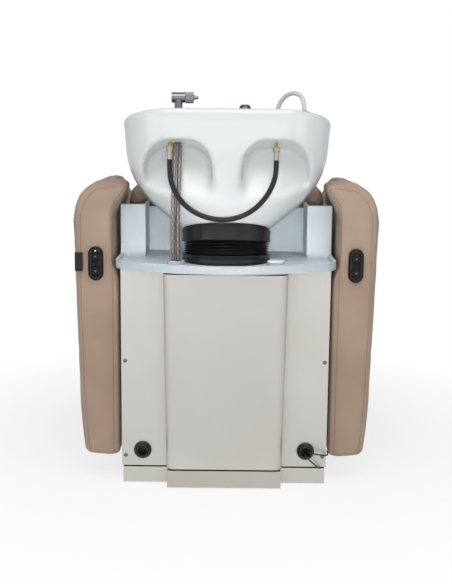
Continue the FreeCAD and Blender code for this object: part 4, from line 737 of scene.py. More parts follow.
@dataclass(frozen=True)
class Palette:
    """All finishes of the unit, each built once."""

    leather: Material = built(Leatherette("taupe leatherette", "#A28C7B", 0.45, shine=0.3))
    # Partly painted shade: real stitches, in a thread darker than the cover so that the rows also draw the
    # shade in the seams' grooves.
    thread: Material = built(Finish("upholstery thread darkened as seam shade", "#846F60", 0.7, 1.0))
    ceramic: Material = built(GlazedCeramic("white glazed ceramic", "#E4E8E9", 0.09))
    steel: Material = built(BrushedMetal("satin stainless sheet", "#DAD8D3", 0.42))
    plinth: Material = built(BrushedMetal("satin stainless plinth", "#C6BDB3", 0.42))
    screw: Material = built(PolishedMetal("zinc plated screw", "#7E7C78", 0.3))
    frame_paint: Material = built(Finish("black powder coat", "#2A2B2D", 0.55, 1.6))
    tray: Material = built(Finish("blue-white ABS", "#E6F0F6", 0.4))
    # Painted shade: a darker copy of the tray's ABS for the lip's upright faces, not a different plastic.
    tray_lip_painted_shade: Material = built(Finish("blue-white ABS with painted lip shade", "#B2BAC1", 0.4))
    cap: Material = built(Finish("white ABS cap", "#F1F4F5", 0.4))
    rubber: Material = built(Finish("black rubber", "#121316", 0.3, 3.0, 0.4))
    chrome: Material = built(PolishedMetal("chrome plate", "#85868A", 0.07))
    dark_chrome: Material = built(PolishedMetal("dark chrome plate", "#55565B", 0.14))
    nickel: Material = built(PolishedMetal("nickel plate", "#B9B2A8", 0.2))
    brass: Material = built(PolishedMetal("turned brass", "#C9A65C", 0.22))
    ground_steel: Material = built(PolishedMetal("ground steel", "#C3C3C2", 0.24))
    braid: Material = built(BraidedWire("braided stainless wire", "#C6BFB7", 0.4))
    pvc_hose: Material = built(Finish("pale grey PVC hose", "#D2D4D6", 0.3, 8.0))
    drain_pvc: Material = built(Finish("grey flexible PVC", "#9A9C9D", 0.45))
    waste: Material = built(Finish("white polypropylene", "#E4E4E0", 0.4))
    cable: Material = built(Finish("black PVC sheath", "#1B1B1C", 0.42))
    plywood: Material = built(Plywood("birch plywood", "#CDAF86", 0.6))
    alloy: Material = built(BrushedMetal("anodised aluminium", "#AEB0B3", 0.4))
    gloss: Material = built(Finish("glossy black ABS", "#0B0B0C", 0.14, 6.0, 0.2))
    bezel: Material = built(Finish("glossy black bezel", "#1C1C1E", 0.12, 6.0))
    button: Material = built(Finish("dark grey button plastic", "#141416", 0.3, shine=0.2))
    mark: Material = built(Finish("red-brown button print", "#80695E", 0.5))
    lamp: Material = built(Glow("indicator lens", "#DDF4FF", 0.3))
    tape: Material = built(WovenTape("black woven tape", "#17171A", 0.75))


@dataclass(frozen=True)
class Lamp:
    """A soft lamp of the studio.

    Attributes:
        name: Name of the lamp.
        place: Where it hangs.
        target: The point that it faces.
        size: Its width and height.
        watts: Its power.
        mirrored: Whether gloss mirrors it.
        beam: Angle of its beam, in degrees.
    """

    name: str
    place: Point
    target: Point
    size: tuple[float, float]
    watts: float
    mirrored: bool = True
    beam: float = 180.0

    def build(self) -> None:
        """Hang the lamp and turn it to its target."""
        light = bpy.data.lights.new(self.name, "AREA")
        light.shape = "RECTANGLE"
        light.size, light.size_y = self.size
        light.energy = self.watts
        light.spread = math.radians(self.beam)
        holder = new_object(self.name, light)
        holder.visible_glossy = self.mirrored
        holder.location = self.place
        line = Vector(self.target) - Vector(self.place)
        holder.rotation_euler = line.to_track_quat("-Z", "Y").to_euler()


@dataclass(frozen=True)
class Studio:
    """Camera, floor and light of the picture.

    Attributes:
        eye: Place of the camera.
        pitch: Its angle up from straight down, in degrees.
        roll: Its turn about its own line of sight, in degrees.
        lens: Focal length in millimetres.
        sensor: Width of the camera's sensor in millimetres.
        floor_half: Half the width of the floor.
        ambient: Strength of the room's own light.
        lamps: The lamps.
    """

    eye: Point = (0.001, -2.9125, 0.931)
    pitch: float = 80.39
    roll: float = 0.57
    lens: float = 59.3
    sensor: float = 36.0
    floor_half: float = 9.0
    ambient: float = 0.25
    lamps: tuple[Lamp, ...] = (
        Lamp("key_softbox", (0.1, -1.8, 2.75), (0.0, -0.35, 0.6), (2.6, 1.8), 33.0),
        Lamp("left_softbox", (-2.4, -2.0, 1.1), (0.0, -0.3, 0.7), (1.4, 1.8), 8.0),
        Lamp("right_softbox", (2.4, -2.0, 1.1), (0.0, -0.3, 0.7), (1.0, 1.8), 5.0),
        Lamp("camera_fill", (0.0, -3.0, 0.93), (0.0, -0.4, 0.65), (0.9, 0.5), 4.5, False),
        Lamp("tray_spot", (0.0, -2.7, 0.72), (0.0, -0.3, 0.62), (0.5, 0.1), 0.25, False, 15.0),
        Lamp("front_softbox", (-0.2, -3.6, 1.05), (0.0, -0.4, 0.65), (4.4, 2.2), 20.0))

    def build(self) -> None:
        """Make the camera, the white floor, the room and the lamps."""
        lens = bpy.data.cameras.new("camera")
        lens.lens = self.lens
        lens.sensor_width = self.sensor
        camera = new_object("camera", lens)
        pitch = Matrix.Rotation(math.radians(self.pitch), 4, "X")
        roll = Matrix.Rotation(math.radians(self.roll), 4, "Z")
        camera.matrix_world = Matrix.Translation(self.eye) @ (pitch @ roll)
        bpy.context.scene.camera = camera
        bpy.context.scene.view_settings.view_transform = "Standard"
        self.lay_floor()
        self.light_room()
        for lamp in self.lamps:
            lamp.build()

    def lay_floor(self) -> None:
        """Lay a plain white floor under the unit."""
        half = self.floor_half
        corners = [(-half, -half, 0), (half, -half, 0), (half, half, 0), (-half, half, 0)]
        floor = mesh_object("floor", corners, [(0, 1, 2, 3)])
        dress(floor, StudioFloor("white studio floor", "#FDFDFD", 0.9).build())

    def light_room(self) -> None:
        """Fill the room with soft light that the camera itself sees as plain white."""
        world = bpy.data.worlds.new("studio")
        bpy.context.scene.world = world
        world.use_nodes = True
        tree = world.node_tree
        tree.nodes.clear()
        strength = add_node(tree, "ShaderNodeMapRange",
                            {"Value": seen_share(tree), "To Min": self.ambient, "To Max": 1.0})
        room = add_node(tree, "ShaderNodeBackground", {"Color": srgb(WHITE), "Strength": strength})
        add_node(tree, "ShaderNodeOutputWorld", {"Surface": room})


@dataclass(frozen=True)
class Hose:
    """A hose or lead along a given route.

    Attributes:
        name: Name of the piece.
        radius: Its outer radius.
        route: Control points of its line, in the row frame.
        slot: Its material slot; not used.
        sides: Facets round it.
        rib: Depth and spacing of corrugations, or none.
        crisp: Degrees above which an edge stays crisp.
    """

    name: str
    radius: float
    route: tuple[Vector, ...]
    slot: Slot
    sides: int = 18
    rib: tuple[float, float] | None = None
    crisp: float = 60

    def line(self) -> list[Vector]:
        """Read the hose's smooth line off a spline through its control points."""
        curve = bpy.data.curves.new(f"{self.name}_route", "CURVE")
        curve.dimensions = "3D"
        spline = curve.splines.new("NURBS")
        spline.points.add(len(self.route) - 1)
        for place, point in zip(self.route, spline.points):
            point.co = (*place, 1.0)
        spline.order_u = 3
        spline.use_endpoint_u = True
        spline.resolution_u = 40 if self.rib else 12
        traced = mesh_of(curve)
        points = [vertex.co.copy() for vertex in traced.vertices]
        bpy.data.meshes.remove(traced)
        return points

    def build(self) -> tuple[Object, list[Vector]]:
        """Model the hose as a closed tube with a UV map laid along it.

        Returns:
            The piece and the points of its line.
        """
        points = self.line()
        runs = [0.0]
        for before, after in zip(points, points[1:]):
            runs.append(runs[-1] + (after - before).length)
        ahead = (points[1] - points[0]).normalized()
        side = ahead.orthogonal().normalized()
        rings: list[Vector] = []
        for index, place in enumerate(points):
            following = points[min(index + 1, len(points) - 1)]
            tangent = (following - points[max(index - 1, 0)]).normalized()
            side = ahead.rotation_difference(tangent) @ side
            ahead = tangent
            up = tangent.cross(side)
            radius = self.radius
            if self.rib:
                depth, spacing = self.rib
                radius -= depth * (0.5 + 0.5 * math.cos(math.tau * runs[index] / spacing))
            for step in range(self.sides):
                angle = math.tau * step / self.sides
                rings.append(place + (side * math.cos(angle) + up * math.sin(angle)) * radius)
        first, last = tuple(range(self.sides)), range(len(rings) - self.sides, len(rings))
        faces = ring_faces(len(points), self.sides) + [first[::-1], tuple(last)]
        layout = []
        for low, high in zip(runs, runs[1:]):
            for step in range(self.sides):
                left, right = step / self.sides, (step + 1) / self.sides
                layout += [(left, low), (right, low), (right, high), (left, high)]
        layout += [(0.0, 0.0)] * self.sides + [(0.0, runs[-1])] * self.sides
        mesh = bpy.data.meshes.new(self.name)
        mesh.from_pydata([tuple(point) for point in rings], [], faces)
        chart = mesh.uv_layers.new(name="hose")
        chart.data.foreach_set("uv", np.array(layout, np.float32).ravel())
        piece = shade(new_object(self.name, mesh), self.crisp)
        LOG.info("%s is %.0f mm long", self.name, runs[-1] * 1000)
        return piece, points


# Control points of the hoses and leads, in millimetres: of the basin's frame, or of behind_panel
SPRAY = ((190, -152, 298), (190, -152, 324), (178, -139.5, 346), (157.5, -118, 354), (137.5, -97, 344),
         (126, -84, 319), (125, -77, 282), (123.5, -70, 243), (121, -66, 201), (106.5, -66, 179),
         (83, -69, 171), (59.5, -77, 179), (45, -82, 200), (45, -82, 226))
LINK_LEFT = ((-140, -168, 170), (-140, -168, 144))
LINK_SAG = ((-136, -79.5, 802), (-123, -79, 772), (-101, -79.5, 744), (-71, -79, 724), (-33, -79.5, 712),
            (7, -79, 711), (45, -79.5, 722), (76, -79, 743), (99, -79.5, 770), (115, -79, 802))
LINK_RIGHT = ((121, -168, 144), (121, -168, 170))
HOT_TOP = ((-117, -135, 214), (-117, -135, 188))
HOT_DROP = ((-118, -52.5, 808), (-119, -59, 760), (-121, -61, 712), (-121, -55, 668), (-120.5, -47, 628),
            (-119.5, -41, 590), (-119, -38, 552))
COLD_TOP = ((-129, -147, 214), (-129, -147, 188))
COLD_DROP = ((-130, -62, 808), (-131, -70, 760), (-132, -71, 712), (-133, -62, 668), (-133, -50, 628),
             (-132.5, -43, 590), (-132, -41, 552))
DRAIN_TOP = ((0, 0, -25), (0, 0, -58.8))
DRAIN_DROP = ((0, 38, 535), (0, 39, 470), (0, 43, 410), (0, 46.5, 345), (0, 49.6, 280), (0, 52.6, 220),
              (0, 54, 162), (0, 54, 110))
HANDSET_LEAD = ((217, 6, 94.5), (218, -14, 95.5), (226, -25, 96), (239, -27, 94), (254, -22, 90),
                (267, -13, 86), (274.5, 0, 83), (276, 14, 82), (276, 30, 84))
MAINS_LEAD = ((213, 6, 91.5), (212, -14, 90), (216, -25, 85), (226, -28, 76), (238, -24, 64),
              (248, -15, 53), (254, -6, 48), (257, 5, 47.4), (260, 18, 47.6))


def route(top: Sequence[Point] = (), drop: Sequence[Point] = (),
          end: Sequence[Point] = ()) -> tuple[Vector, ...]:
    """Join a run in the basin's frame, one behind the panels and one in the basin's frame again."""
    return tuple([basin_point(*point) for point in top] + [behind_panel(*point) for point in drop]
                 + [basin_point(*point) for point in end])


@dataclass(frozen=True)
class Plumbing:
    """The hoses behind the basin and the leads low on the cabinet.

    Attributes:
        spray_radius: Radius of the spray hose.
        link_radius: Radius of the link hose.
        supply_radius: Radius of the two supply hoses.
        drain_radius: Radius of the drain hose.
        drain_rib: Depth and spacing of its corrugations.
        lead_radius: Radius of the two leads.
    """

    spray_radius: float = 0.0055
    link_radius: float = 0.0065
    supply_radius: float = 0.0055
    drain_radius: float = 0.0205
    drain_rib: tuple[float, float] = (0.0025, 0.009)
    lead_radius: float = 0.002

    def build(self, palette: Palette) -> None:
        """Lay every hose and lead, and log its length."""
        spray = Hose("spray_hose_tube", self.spray_radius, route(SPRAY), Slot.HOSE)
        self.lay(spray, palette.pvc_hose, "spray_hose", "basin")
        link = Hose("link_hose_tube", self.link_radius, route(LINK_LEFT, LINK_SAG, LINK_RIGHT),
                    Slot.RUBBER)
        self.lay(link, palette.rubber, "link_hose", "basin")
        for name, top, drop in (("hot", HOT_TOP, HOT_DROP), ("cold", COLD_TOP, COLD_DROP)):
            supply = Hose(f"{name}_supply_tube", self.supply_radius, route(top, drop), Slot.BRAID)
            self.lay(supply, palette.braid, f"{name}_supply_hose")
        drain = Hose("drain_tube", self.drain_radius, route(DRAIN_TOP, DRAIN_DROP), Slot.DRAIN,
                     sides=28, rib=self.drain_rib)
        self.lay(drain, palette.drain_pvc, "drain_hose")
        for name, node, drop in (("handset_lead", "service_leads", HANDSET_LEAD),
                                 ("mains_lead", None, MAINS_LEAD)):
            lead = Hose(name, self.lead_radius, route(drop=drop), Slot.CABLE, sides=12)
            self.lay(lead, palette.cable, node, "base")

    def lay(self, hose: Hose, finish: Material, node: str | None,
            body: str | None = None) -> None:
        """Args:
            hose: The hose to build.
            finish: Its material.
            node: The CAD node that it stands for, if any.
            body: The body that it rides on, or none where it runs from the basin to the base.
        """
        piece, points = hose.build()
        dress(piece, finish)
        if node:
            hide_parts(node)
        if body:
            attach(piece, body)
        else:
            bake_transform(piece)


# Lines of the bellows' bands and of a fold: shares of the height, and of a fold's depth inwards
LOWER_BAND = ((0.0, 0.0), (0.25, 0.0), (0.5, 0.2), (0.85, 0.0))
FOLD = ((0.0, 1.0), (0.1, 1.0), (0.42, 0.0), (0.62, 0.0))
UPPER_BAND = ((0.1, 0.0), (0.5, 0.15), (0.8, 0.0), (1.0, 0.3))


@dataclass(frozen=True)
class Bellows:
    """The folded rubber boot between the tray and the basin.

    Attributes:
        foot: Centre of its lower end.
        head: Centre of its upper end.
        bands: Heights of the lower and the upper end band.
        band_radius: Outer radius of the end bands.
        crest: Outer radius of a fold.
        fold: Depth of a fold.
        folds: Number of folds.
        skin: Thickness of the rubber.
        sides: Facets round it.
        levels: Points up its line.
        window: Points over which that line is rounded.
        crisp: Degrees above which an edge stays crisp.
    """

    foot: Vector
    head: Vector
    bands: tuple[float, float] = (0.022, 0.036)
    band_radius: float = 0.11525
    crest: float = 0.1125
    fold: float = 0.010
    folds: int = 4
    skin: float = 0.003
    sides: int = 96
    levels: int = 220
    window: int = 7
    crisp: float = 50

    def profile(self) -> list[tuple[float, float]]:
        """Rounded shares of the height and radii up the boot, from its lower end to its upper."""
        low, high = (band / (self.head - self.foot).length for band in self.bands)
        pitch = (1 - low - high) / self.folds
        parts = [(0.0, low, self.band_radius, LOWER_BAND)]
        parts += [(low + index * pitch, pitch, self.crest, FOLD) for index in range(self.folds)]
        parts += [(1 - high, high, self.crest, FOLD[:1]), (1 - high, high, self.band_radius, UPPER_BAND)]
        corners = [(start + share * height, radius - deep * self.fold)
                   for start, height, radius, line in parts for share, deep in line]
        heights = np.linspace(0.0, 1.0, self.levels)
        radii = np.interp(heights, *zip(*corners))
        weights = np.hanning(self.window + 2)[1:-1]
        padded = np.pad(radii, self.window // 2, "edge")
        rounded = np.convolve(padded, weights / weights.sum(), "valid")
        return list(zip(heights.tolist(), rounded.tolist()))

    def build(self, finish: Material) -> Object:
        """Turn the folded skin about its leaning line."""
        outer = self.profile()
        sections = outer + [(share, radius - self.skin) for share, radius in reversed(outer)]
        points = []
        for share, radius in sections:
            lean = Matrix.Rotation(-BASIN_LEAN * share, 3, "X")
            middle = self.foot.lerp(self.head, share)
            for step in range(self.sides):
                angle = math.tau * step / self.sides
                spoke = Vector((radius * math.cos(angle), radius * math.sin(angle), 0.0))
                points.append(middle + lean @ spoke)
        faces = ring_faces(len(sections), self.sides, closed=True)
        piece = dress(shade(mesh_object("bellows_boot", points, faces), self.crisp), finish)
        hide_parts("bellows")
        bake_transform(piece)
        return piece


@dataclass(frozen=True)
class Basin:
    """The cast ceramic basin.

    Attributes:
        grid: Size of the even mesh that the glaze is drawn on.
        passes: Rounds of smoothing that melt its edges.
        fade: Heights between which the recesses at the back run out.
        fade_passes: Further rounds there.
        steps: Steps in which that smoothing grows downward.
        reach: Share of those heights that the steps cover.
        turned: Forward part of a normal below which a point counts as outside the bowl.
    """

    grid: float = 0.0034
    passes: int = 14
    fade: tuple[float, float] = (0.70, 0.87)
    fade_passes: int = 60
    steps: int = 4
    reach: float = 0.6
    turned: float = 0.2

    def build(self, finish: Material) -> Object:
        """Copy the casting and melt its edges as a glaze does."""
        piece = merged_copy("basin", "basin_casting")
        with edited(piece.data) as shape:
            middle = [face for face in shape.faces
                      if max(abs(vertex.co.x) for vertex in face.verts) < JOINED]
            bmesh.ops.delete(shape, geom=middle, context="FACES")
            bmesh.ops.remove_doubles(shape, verts=shape.verts, dist=JOINED)
        even_mesh(piece, self.grid, self.passes)
        self.run_out(piece)
        return seat_on(dress(shade(piece), finish), "basin", Slot.CERAMIC, "basin")

    def run_out(self, piece: Object) -> None:
        """Let the recesses at the back fade into the bowl toward their lower ends."""
        places = coordinates(piece.data)
        outside = vertex_normals(piece.data)[:, 1] < self.turned
        low, high = self.fade
        for step in range(self.steps):
            top = high - (high - low) * self.reach * step / self.steps
            eased(piece, self.fade_passes, outside & (places[:, 2] > low) & (places[:, 2] < top))


@dataclass(frozen=True)
class ScrewSize:
    """Sizes of one cross-recess screw head.

    Attributes:
        radius: Radius of the head.
        height: Height of its dome.
        recess: Length of the cross.
        crisp: Degrees above which an edge stays crisp.
    """

    radius: float = 0.0055
    height: float = 0.0024
    recess: float = 0.0058
    crisp: float = 35


@dataclass(frozen=True)
class Cabinet:
    """Satin steel panels, plinths and centre cover, with their screws and grommets.

    Attributes:
        sheet_edge: Rounding of a folded sheet's edge.
        cover_edge: Rounding of the bent edges of the centre cover and its plinth.
        screw: Sizes of the screws that hold the side panels.
        grommet_lip: Rounding of the rubber grommets.
        gaps: Corners of the black blocks behind the gaps over the plinths, painted shade, for
            behind_panel.
        grommets: Middles of the two grommets, for behind_panel.
        hole_shade_disc: Radius and thickness of the black disc in a grommet's hole, painted shade for its
            dark inside.
        spin_seed: Seed of the screws' random turns.
    """

    sheet_edge: float = 0.0012
    cover_edge: float = 0.005
    screw: ScrewSize = ScrewSize()
    grommet_lip: float = 0.0016
    gaps: tuple[tuple[Point, Point], ...] = (
        ((-266, 9, 36), (-150, 13, 62)), ((150, 9, 36), (266, 13, 62)),
        ((-138, -30, 40), (138, -26, 68)))
    grommets: tuple[Point, ...] = ((-215.0, 7.4, 93.0), (215.0, 7.4, 93.0))
    hole_shade_disc: tuple[float, float] = (0.0185, 0.001)
    spin_seed: int = 7

    def build(self, palette: Palette) -> None:
        """Round the sheets' edges, fit the screws and finish what is inside."""
        for node, width, steel in (("side_panel_left", self.sheet_edge, palette.steel),
                                   ("side_panel_right", self.sheet_edge, palette.steel),
                                   ("side_plinths", self.sheet_edge, palette.steel),
                                   ("plinth_centre", self.cover_edge, palette.plinth),
                                   ("centre_cover", self.cover_edge, palette.steel)):
            stand_in(node, f"{node}_sheet", width, steel, Slot.STAINLESS)
        self.close_gaps(palette.rubber)
        stand_in("grommets", "grommet_rings", self.grommet_lip, palette.rubber, Slot.RUBBER)
        self.fit_screws(palette.screw)
        dress_nodes(palette.frame_paint, "side_rails", "posts", "top_rails", "front_posts", "seat_rails",
                    "cross_rails", "floor_tabs", "tilt_plate", "lower_tilt_bracket",
                    "upper_tilt_bracket", "chair_brackets", "hinge_plates", "legrest_ears",
                    "motor_bracket")
        dress_nodes(palette.rubber, "levelling_feet")
        dress_nodes(palette.ground_steel, "pivot_pins", "actuator_rod")
        dress_nodes(palette.alloy, "actuator_body")

    def close_gaps(self, finish: Material) -> None:
        """Set black blocks behind the gaps over the plinths, and a black disc in each grommet: painted
        shade.
        """
        radius, depth = self.hole_shade_disc
        mesh = bpy.data.meshes.new("gap_and_hole_shade")
        with edited(mesh) as shape:
            # Dark blocks put where the gaps show only shade: painted shade.
            for low, high in self.gaps:
                near, far = behind_panel(*low), behind_panel(*high)
                block = bmesh.ops.create_cube(shape, size=1.0)["verts"]
                bmesh.ops.scale(shape, vec=far - near, verts=block)
                bmesh.ops.translate(shape, vec=(near + far) / 2, verts=block)
            # A dark disc put where the grommet's hole shows only shade: painted shade.
            for middle in self.grommets:
                disc = bmesh.ops.create_cone(shape, cap_ends=True, segments=40, radius1=radius,
                                             radius2=radius, depth=depth)["verts"]
                bmesh.ops.rotate(shape, matrix=Matrix.Rotation(math.pi / 2, 3, "X"), verts=disc)
                bmesh.ops.translate(shape, vec=behind_panel(*middle), verts=disc)
        seat_on(dress(new_object("gap_and_hole_shade", mesh), finish), "base", Slot.RUBBER)

    def screw_places(self) -> list[Vector]:
        """Middle of each screw's seat, from the CAD screws' own triangles, in the same order every run."""
        copy = merged_copy("panel_screws", "screw_probe")
        places = []
        with edited(copy.data) as shape:
            loose = set(shape.verts)
            while loose:
                reached = [loose.pop()]
                island = list(reached)
                while reached:
                    for edge in reached.pop().link_edges:
                        for vertex in loose.intersection(edge.verts):
                            loose.remove(vertex)
                            reached.append(vertex)
                            island.append(vertex)
                corners = np.array([vertex.co for vertex in island])
                middle = (corners.min(axis=0) + corners.max(axis=0)) / 2
                places.append(Vector((middle[0], PANEL_Y, middle[2])))
        bpy.data.objects.remove(copy)
        return sorted(places, key=lambda place: (place.x > 0.0, place.z))

    def fit_screws(self, finish: Material) -> None:
        """Set a domed cross-recess head on every screw's place with one node tree."""
        holder = new_object("panel_screw_heads", bpy.data.meshes.new("panel_screw_heads"))
        holder.data.from_pydata([tuple(place) for place in self.screw_places()], [], [])
        sizes = {"Radius": self.screw.radius, "Height": self.screw.height, "Recess": self.screw.recess}
        scatter(holder, finish, sizes, self.draw_head)
        seat_on(shade(holder, self.screw.crisp), "base", Slot.STAINLESS, "panel_screws")

    def draw_head(self, tree: NodeTree, given: Mapping[str, NodeSocket]) -> dict[str, object]:
        """Add the nodes of one screw head: a dome with two crossed bars cut out.

        Args:
            tree: The node tree.
            given: Its inputs.

        Returns:
            Inputs that set a head on every place with a turn of its own.
        """
        ball = add_node(tree, "GeometryNodeMeshUVSphere", {"Segments": 28, "Rings": 14, "Radius": 1.0})
        size = add_node(tree, "ShaderNodeCombineXYZ",
                        {0: given["Radius"], 1: given["Height"], 2: given["Radius"]})
        dome = add_node(tree, "GeometryNodeTransform", {0: ball, "Scale": size})
        groove, deep, lift = (
            add_node(tree, "ShaderNodeMath", {0: given[name], 1: share}, operation="MULTIPLY")
            for name, share in (("Radius", 0.3), ("Height", 1.2), ("Height", -1.0)))
        lifted = add_node(tree, "ShaderNodeCombineXYZ", {1: lift})
        bar_size = add_node(tree, "ShaderNodeCombineXYZ", {0: given["Recess"], 1: deep, 2: groove})
        bar = add_node(tree, "GeometryNodeMeshCube", {"Size": bar_size})
        head = dome
        for quarter in (0.0, math.pi / 2):
            turned = add_node(tree, "GeometryNodeTransform",
                              {0: bar, "Translation": lifted,
                               "Rotation": (0.0, quarter, 0.0)})
            cut = add_node(tree, "GeometryNodeMeshBoolean",
                           {"Mesh 1": head, "Mesh 2": turned},
                           operation="DIFFERENCE", solver="EXACT")
            head = cut
        spin = add_node(tree, "FunctionNodeRandomValue",
                        {"Min": 0.0, "Max": math.pi, "Seed": self.spin_seed})
        turn = add_node(tree, "ShaderNodeCombineXYZ", {1: spin.outputs[1]})
        return {"Points": given["Places"], "Instance": head, "Rotation": turn}


@dataclass(frozen=True)
class Tray:
    """The moulded tray that the bellows stands in.

    Attributes:
        edge: Rounding of the moulding's edges.
        cap_edge: Rounding of the collar's push-in cap.
        corner: Rounding of the lip's two outer corners, seen from above.
        corner_x: Distance from the middle beyond which an edge counts as such a corner.
        corner_y: Y behind which it does.
        lip_z: Height up to which the lip's upright faces get a darker copy of the tray's colour, painted
            shade.
        steep: Upright share of its length from which an edge counts as upright.
        level: Upright part of its normal from which a face counts as level.
    """

    edge: float = 0.0035
    cap_edge: float = 0.0012
    corner: float = 0.03
    corner_x: float = 0.275
    corner_y: float = PANEL_Y - 0.01
    lip_z: float = 0.602
    steep: float = 0.9
    level: float = 0.5

    def is_corner(self, edge: bmesh.types.BMEdge) -> bool:
        """Whether an edge is an upright one at the lip's outer corners."""
        first, second = (vertex.co for vertex in edge.verts)
        upright = abs(first.z - second.z) > self.steep * (first - second).length
        return upright and abs(first.x) > self.corner_x and first.y < self.corner_y

    def is_lip(self, face: MeshPolygon) -> bool:
        """Whether a face is an upright one of the lip."""
        return face.center.z < self.lip_z and abs(face.normal.z) < self.level

    def build(self, palette: Palette) -> None:
        """Round the moulding's edges as a vacuum-formed tray has them."""
        rounded = softened("tray", "tray_moulding", self.edge, self.is_corner, self.corner)
        tray = seat_on(dress(rounded, palette.tray), "base", Slot.TRAY, "tray")
        # The lip's upright faces take the darker copy of the tray's colour: painted shade.
        dress_some(tray, palette.tray_lip_painted_shade, self.is_lip)
        stand_in("collar_cap", "collar_push_cap", self.cap_edge, palette.cap, Slot.TRAY)


@dataclass(frozen=True)
class Taps:
    """Mixer, spray and waste on the basin, and the brass ends of the link hose.

    Attributes:
        turned_edge: Rounding of the turned metal pieces.
        rubber_edge: Rounding of the neck rest.
        thread_z: Height above which the link hose's fittings show bare brass.
    """

    turned_edge: float = 0.0008
    rubber_edge: float = 0.004
    thread_z: float = 0.888

    def build(self, palette: Palette) -> None:
        """Ease the edges of the plated and turned pieces and give each its metal."""
        rows: tuple[tuple[str, str, Slot, Material], ...] = (
            ("mixer_body", "basin", Slot.CHROME, palette.chrome),
            ("mixer_knob", "mixer_knob", Slot.CHROME, palette.chrome),
            ("spray_guide", "basin", Slot.CHROME, palette.chrome),
            ("waste_strainer", "basin", Slot.CHROME, palette.chrome),
            ("spray_head", "spray_head", Slot.DARK_CHROME, palette.dark_chrome),
            ("spray_holder", "basin", Slot.DARK_CHROME, palette.dark_chrome),
            ("link_fittings", "basin", Slot.BRASS, palette.nickel))
        for node, body, slot, finish in rows:
            piece = stand_in(node, f"{node}_metal", self.turned_edge, finish, slot, body)
            if slot is Slot.BRASS:
                dress_some(piece, palette.brass, lambda face: face.center.z > self.thread_z)
        stand_in("neck_rest", "neck_rest_rubber", self.rubber_edge, palette.rubber, Slot.RUBBER, "basin")
        dress_nodes(palette.waste, "waste_body", "drain_spigot")


@dataclass(frozen=True)
class Handsets:
    """The two oval control handsets on the arms' backs, with their buttons.

    Attributes:
        edge: Rounding of the case.
        bezel: Thickness of the raised oval rim round the buttons.
        bezel_inset: Distance of that rim from the case's edge.
        bezel_points: Points round it.
        arrow: Half the width of the arrow on a button.
        arrow_line: Corners of the arrow across and up, in shares of that half width.
        lamp: Radius of the lamp on the left handset.
        lamp_drop: Its distance below the case's top, as a share of the case's height.
        lamp_depth: Its depth as a share of its radius.
        proud: How far print stands off its surface.
    """

    edge: float = 0.0014
    bezel: float = 0.0026
    bezel_inset: float = 0.0065
    bezel_points: int = 48
    arrow: float = 0.0034
    arrow_line: tuple[tuple[float, float], ...] = ((-1.0, -0.55), (1.0, -0.55), (0.0, 0.75))
    lamp: float = 0.0019
    lamp_drop: float = 0.12
    lamp_depth: float = 0.4
    proud: float = 0.0004

    def build(self, palette: Palette) -> None:
        """Gloss the cases, print an arrow on each button and set the lamp."""
        for side in ("left", "right"):
            case = f"handset_{side}"
            stand_in(case, f"{case}_case", self.edge, palette.gloss, Slot.GLOSS)
            self.raise_bezel(case, palette.bezel)
            for way, sign in (("up", 1.0), ("down", -1.0)):
                node = f"button_{way}_{side}"
                stand_in(node, f"{node}_cap", self.edge / 2, palette.button, Slot.BUTTON, node)
                self.print_arrow(node, sign, palette.mark)
        self.set_lamp(palette.lamp)

    def raise_bezel(self, case: str, finish: Material) -> None:
        """Run a raised oval rim round a handset's buttons."""
        low, high = (Vector(corner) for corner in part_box(case))
        radius = (high.x - low.x) / 2 - self.bezel_inset
        straight = (high.z - low.z) / 2 - self.bezel_inset - radius
        curve = bpy.data.curves.new(f"{case}_bezel", "CURVE")
        curve.dimensions = "3D"
        curve.bevel_depth = self.bezel / 2
        curve.bevel_resolution = 3
        rim = curve.splines.new("POLY")
        rim.points.add(self.bezel_points - 1)
        for number, point in enumerate(rim.points):
            turn = math.tau * (number + 0.5) / self.bezel_points
            rise = radius * math.sin(turn) + math.copysign(straight, math.sin(turn))
            place = (low + high) / 2 + Vector((radius * math.cos(turn), 0.0, rise))
            point.co = (place.x, low.y, place.z, 1.0)
        rim.use_cyclic_u = True
        mesh = mesh_of(curve)
        turn_outwards(mesh)
        seat_on(dress(shade(new_object(f"{case}_rim", mesh)), finish), "base", Slot.GLOSS)

    def print_arrow(self, node: str, sign: float, finish: Material) -> None:
        """Print a plain triangle that points up or down on a button."""
        low, high = (Vector(corner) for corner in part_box(node))
        middle = (low + high) / 2
        points = [Vector((middle.x + across * self.arrow, low.y + depth,
                          middle.z + sign * up * self.arrow))
                  for depth in (-self.proud, self.proud) for across, up in self.arrow_line]
        faces = [(0, 1, 2), (5, 4, 3), (0, 3, 4, 1), (1, 4, 5, 2), (2, 5, 3, 0)]
        arrow = dress(mesh_object(f"{node}_arrow", points, faces), finish)
        seat_on(arrow, node, Slot.BUTTON)

    def set_lamp(self, finish: Material) -> None:
        """Set a small domed lamp between the left handset's buttons and its top."""
        low, high = (Vector(corner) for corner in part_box("handset_left"))
        middle = Vector(((low.x + high.x) / 2, low.y, high.z - self.lamp_drop * (high.z - low.z)))
        mesh = bpy.data.meshes.new("handset_lamp")
        with edited(mesh) as shape:
            bmesh.ops.create_uvsphere(shape, u_segments=20, v_segments=10, radius=self.lamp)
            bmesh.ops.scale(shape, vec=(1.0, self.lamp_depth, 1.0), verts=shape.verts)
            bmesh.ops.translate(shape, vec=middle, verts=shape.verts)
        lamp = dress(shade(new_object("handset_lamp", mesh)), finish)
        seat_on(lamp, "base", Slot.GLOSS)


@dataclass(frozen=True)
class SideTag:
    """The bare woven loop sewn into the left arm's side seam.

    Attributes:
        edge: Rounding of the tape's folded edge.
    """

    edge: float = 0.0006

    def build(self, finish: Material) -> None:
        """Round the tape's edges and give it its weave."""
        stand_in("side_tag", "side_tag_tape", self.edge, finish, Slot.TAPE)


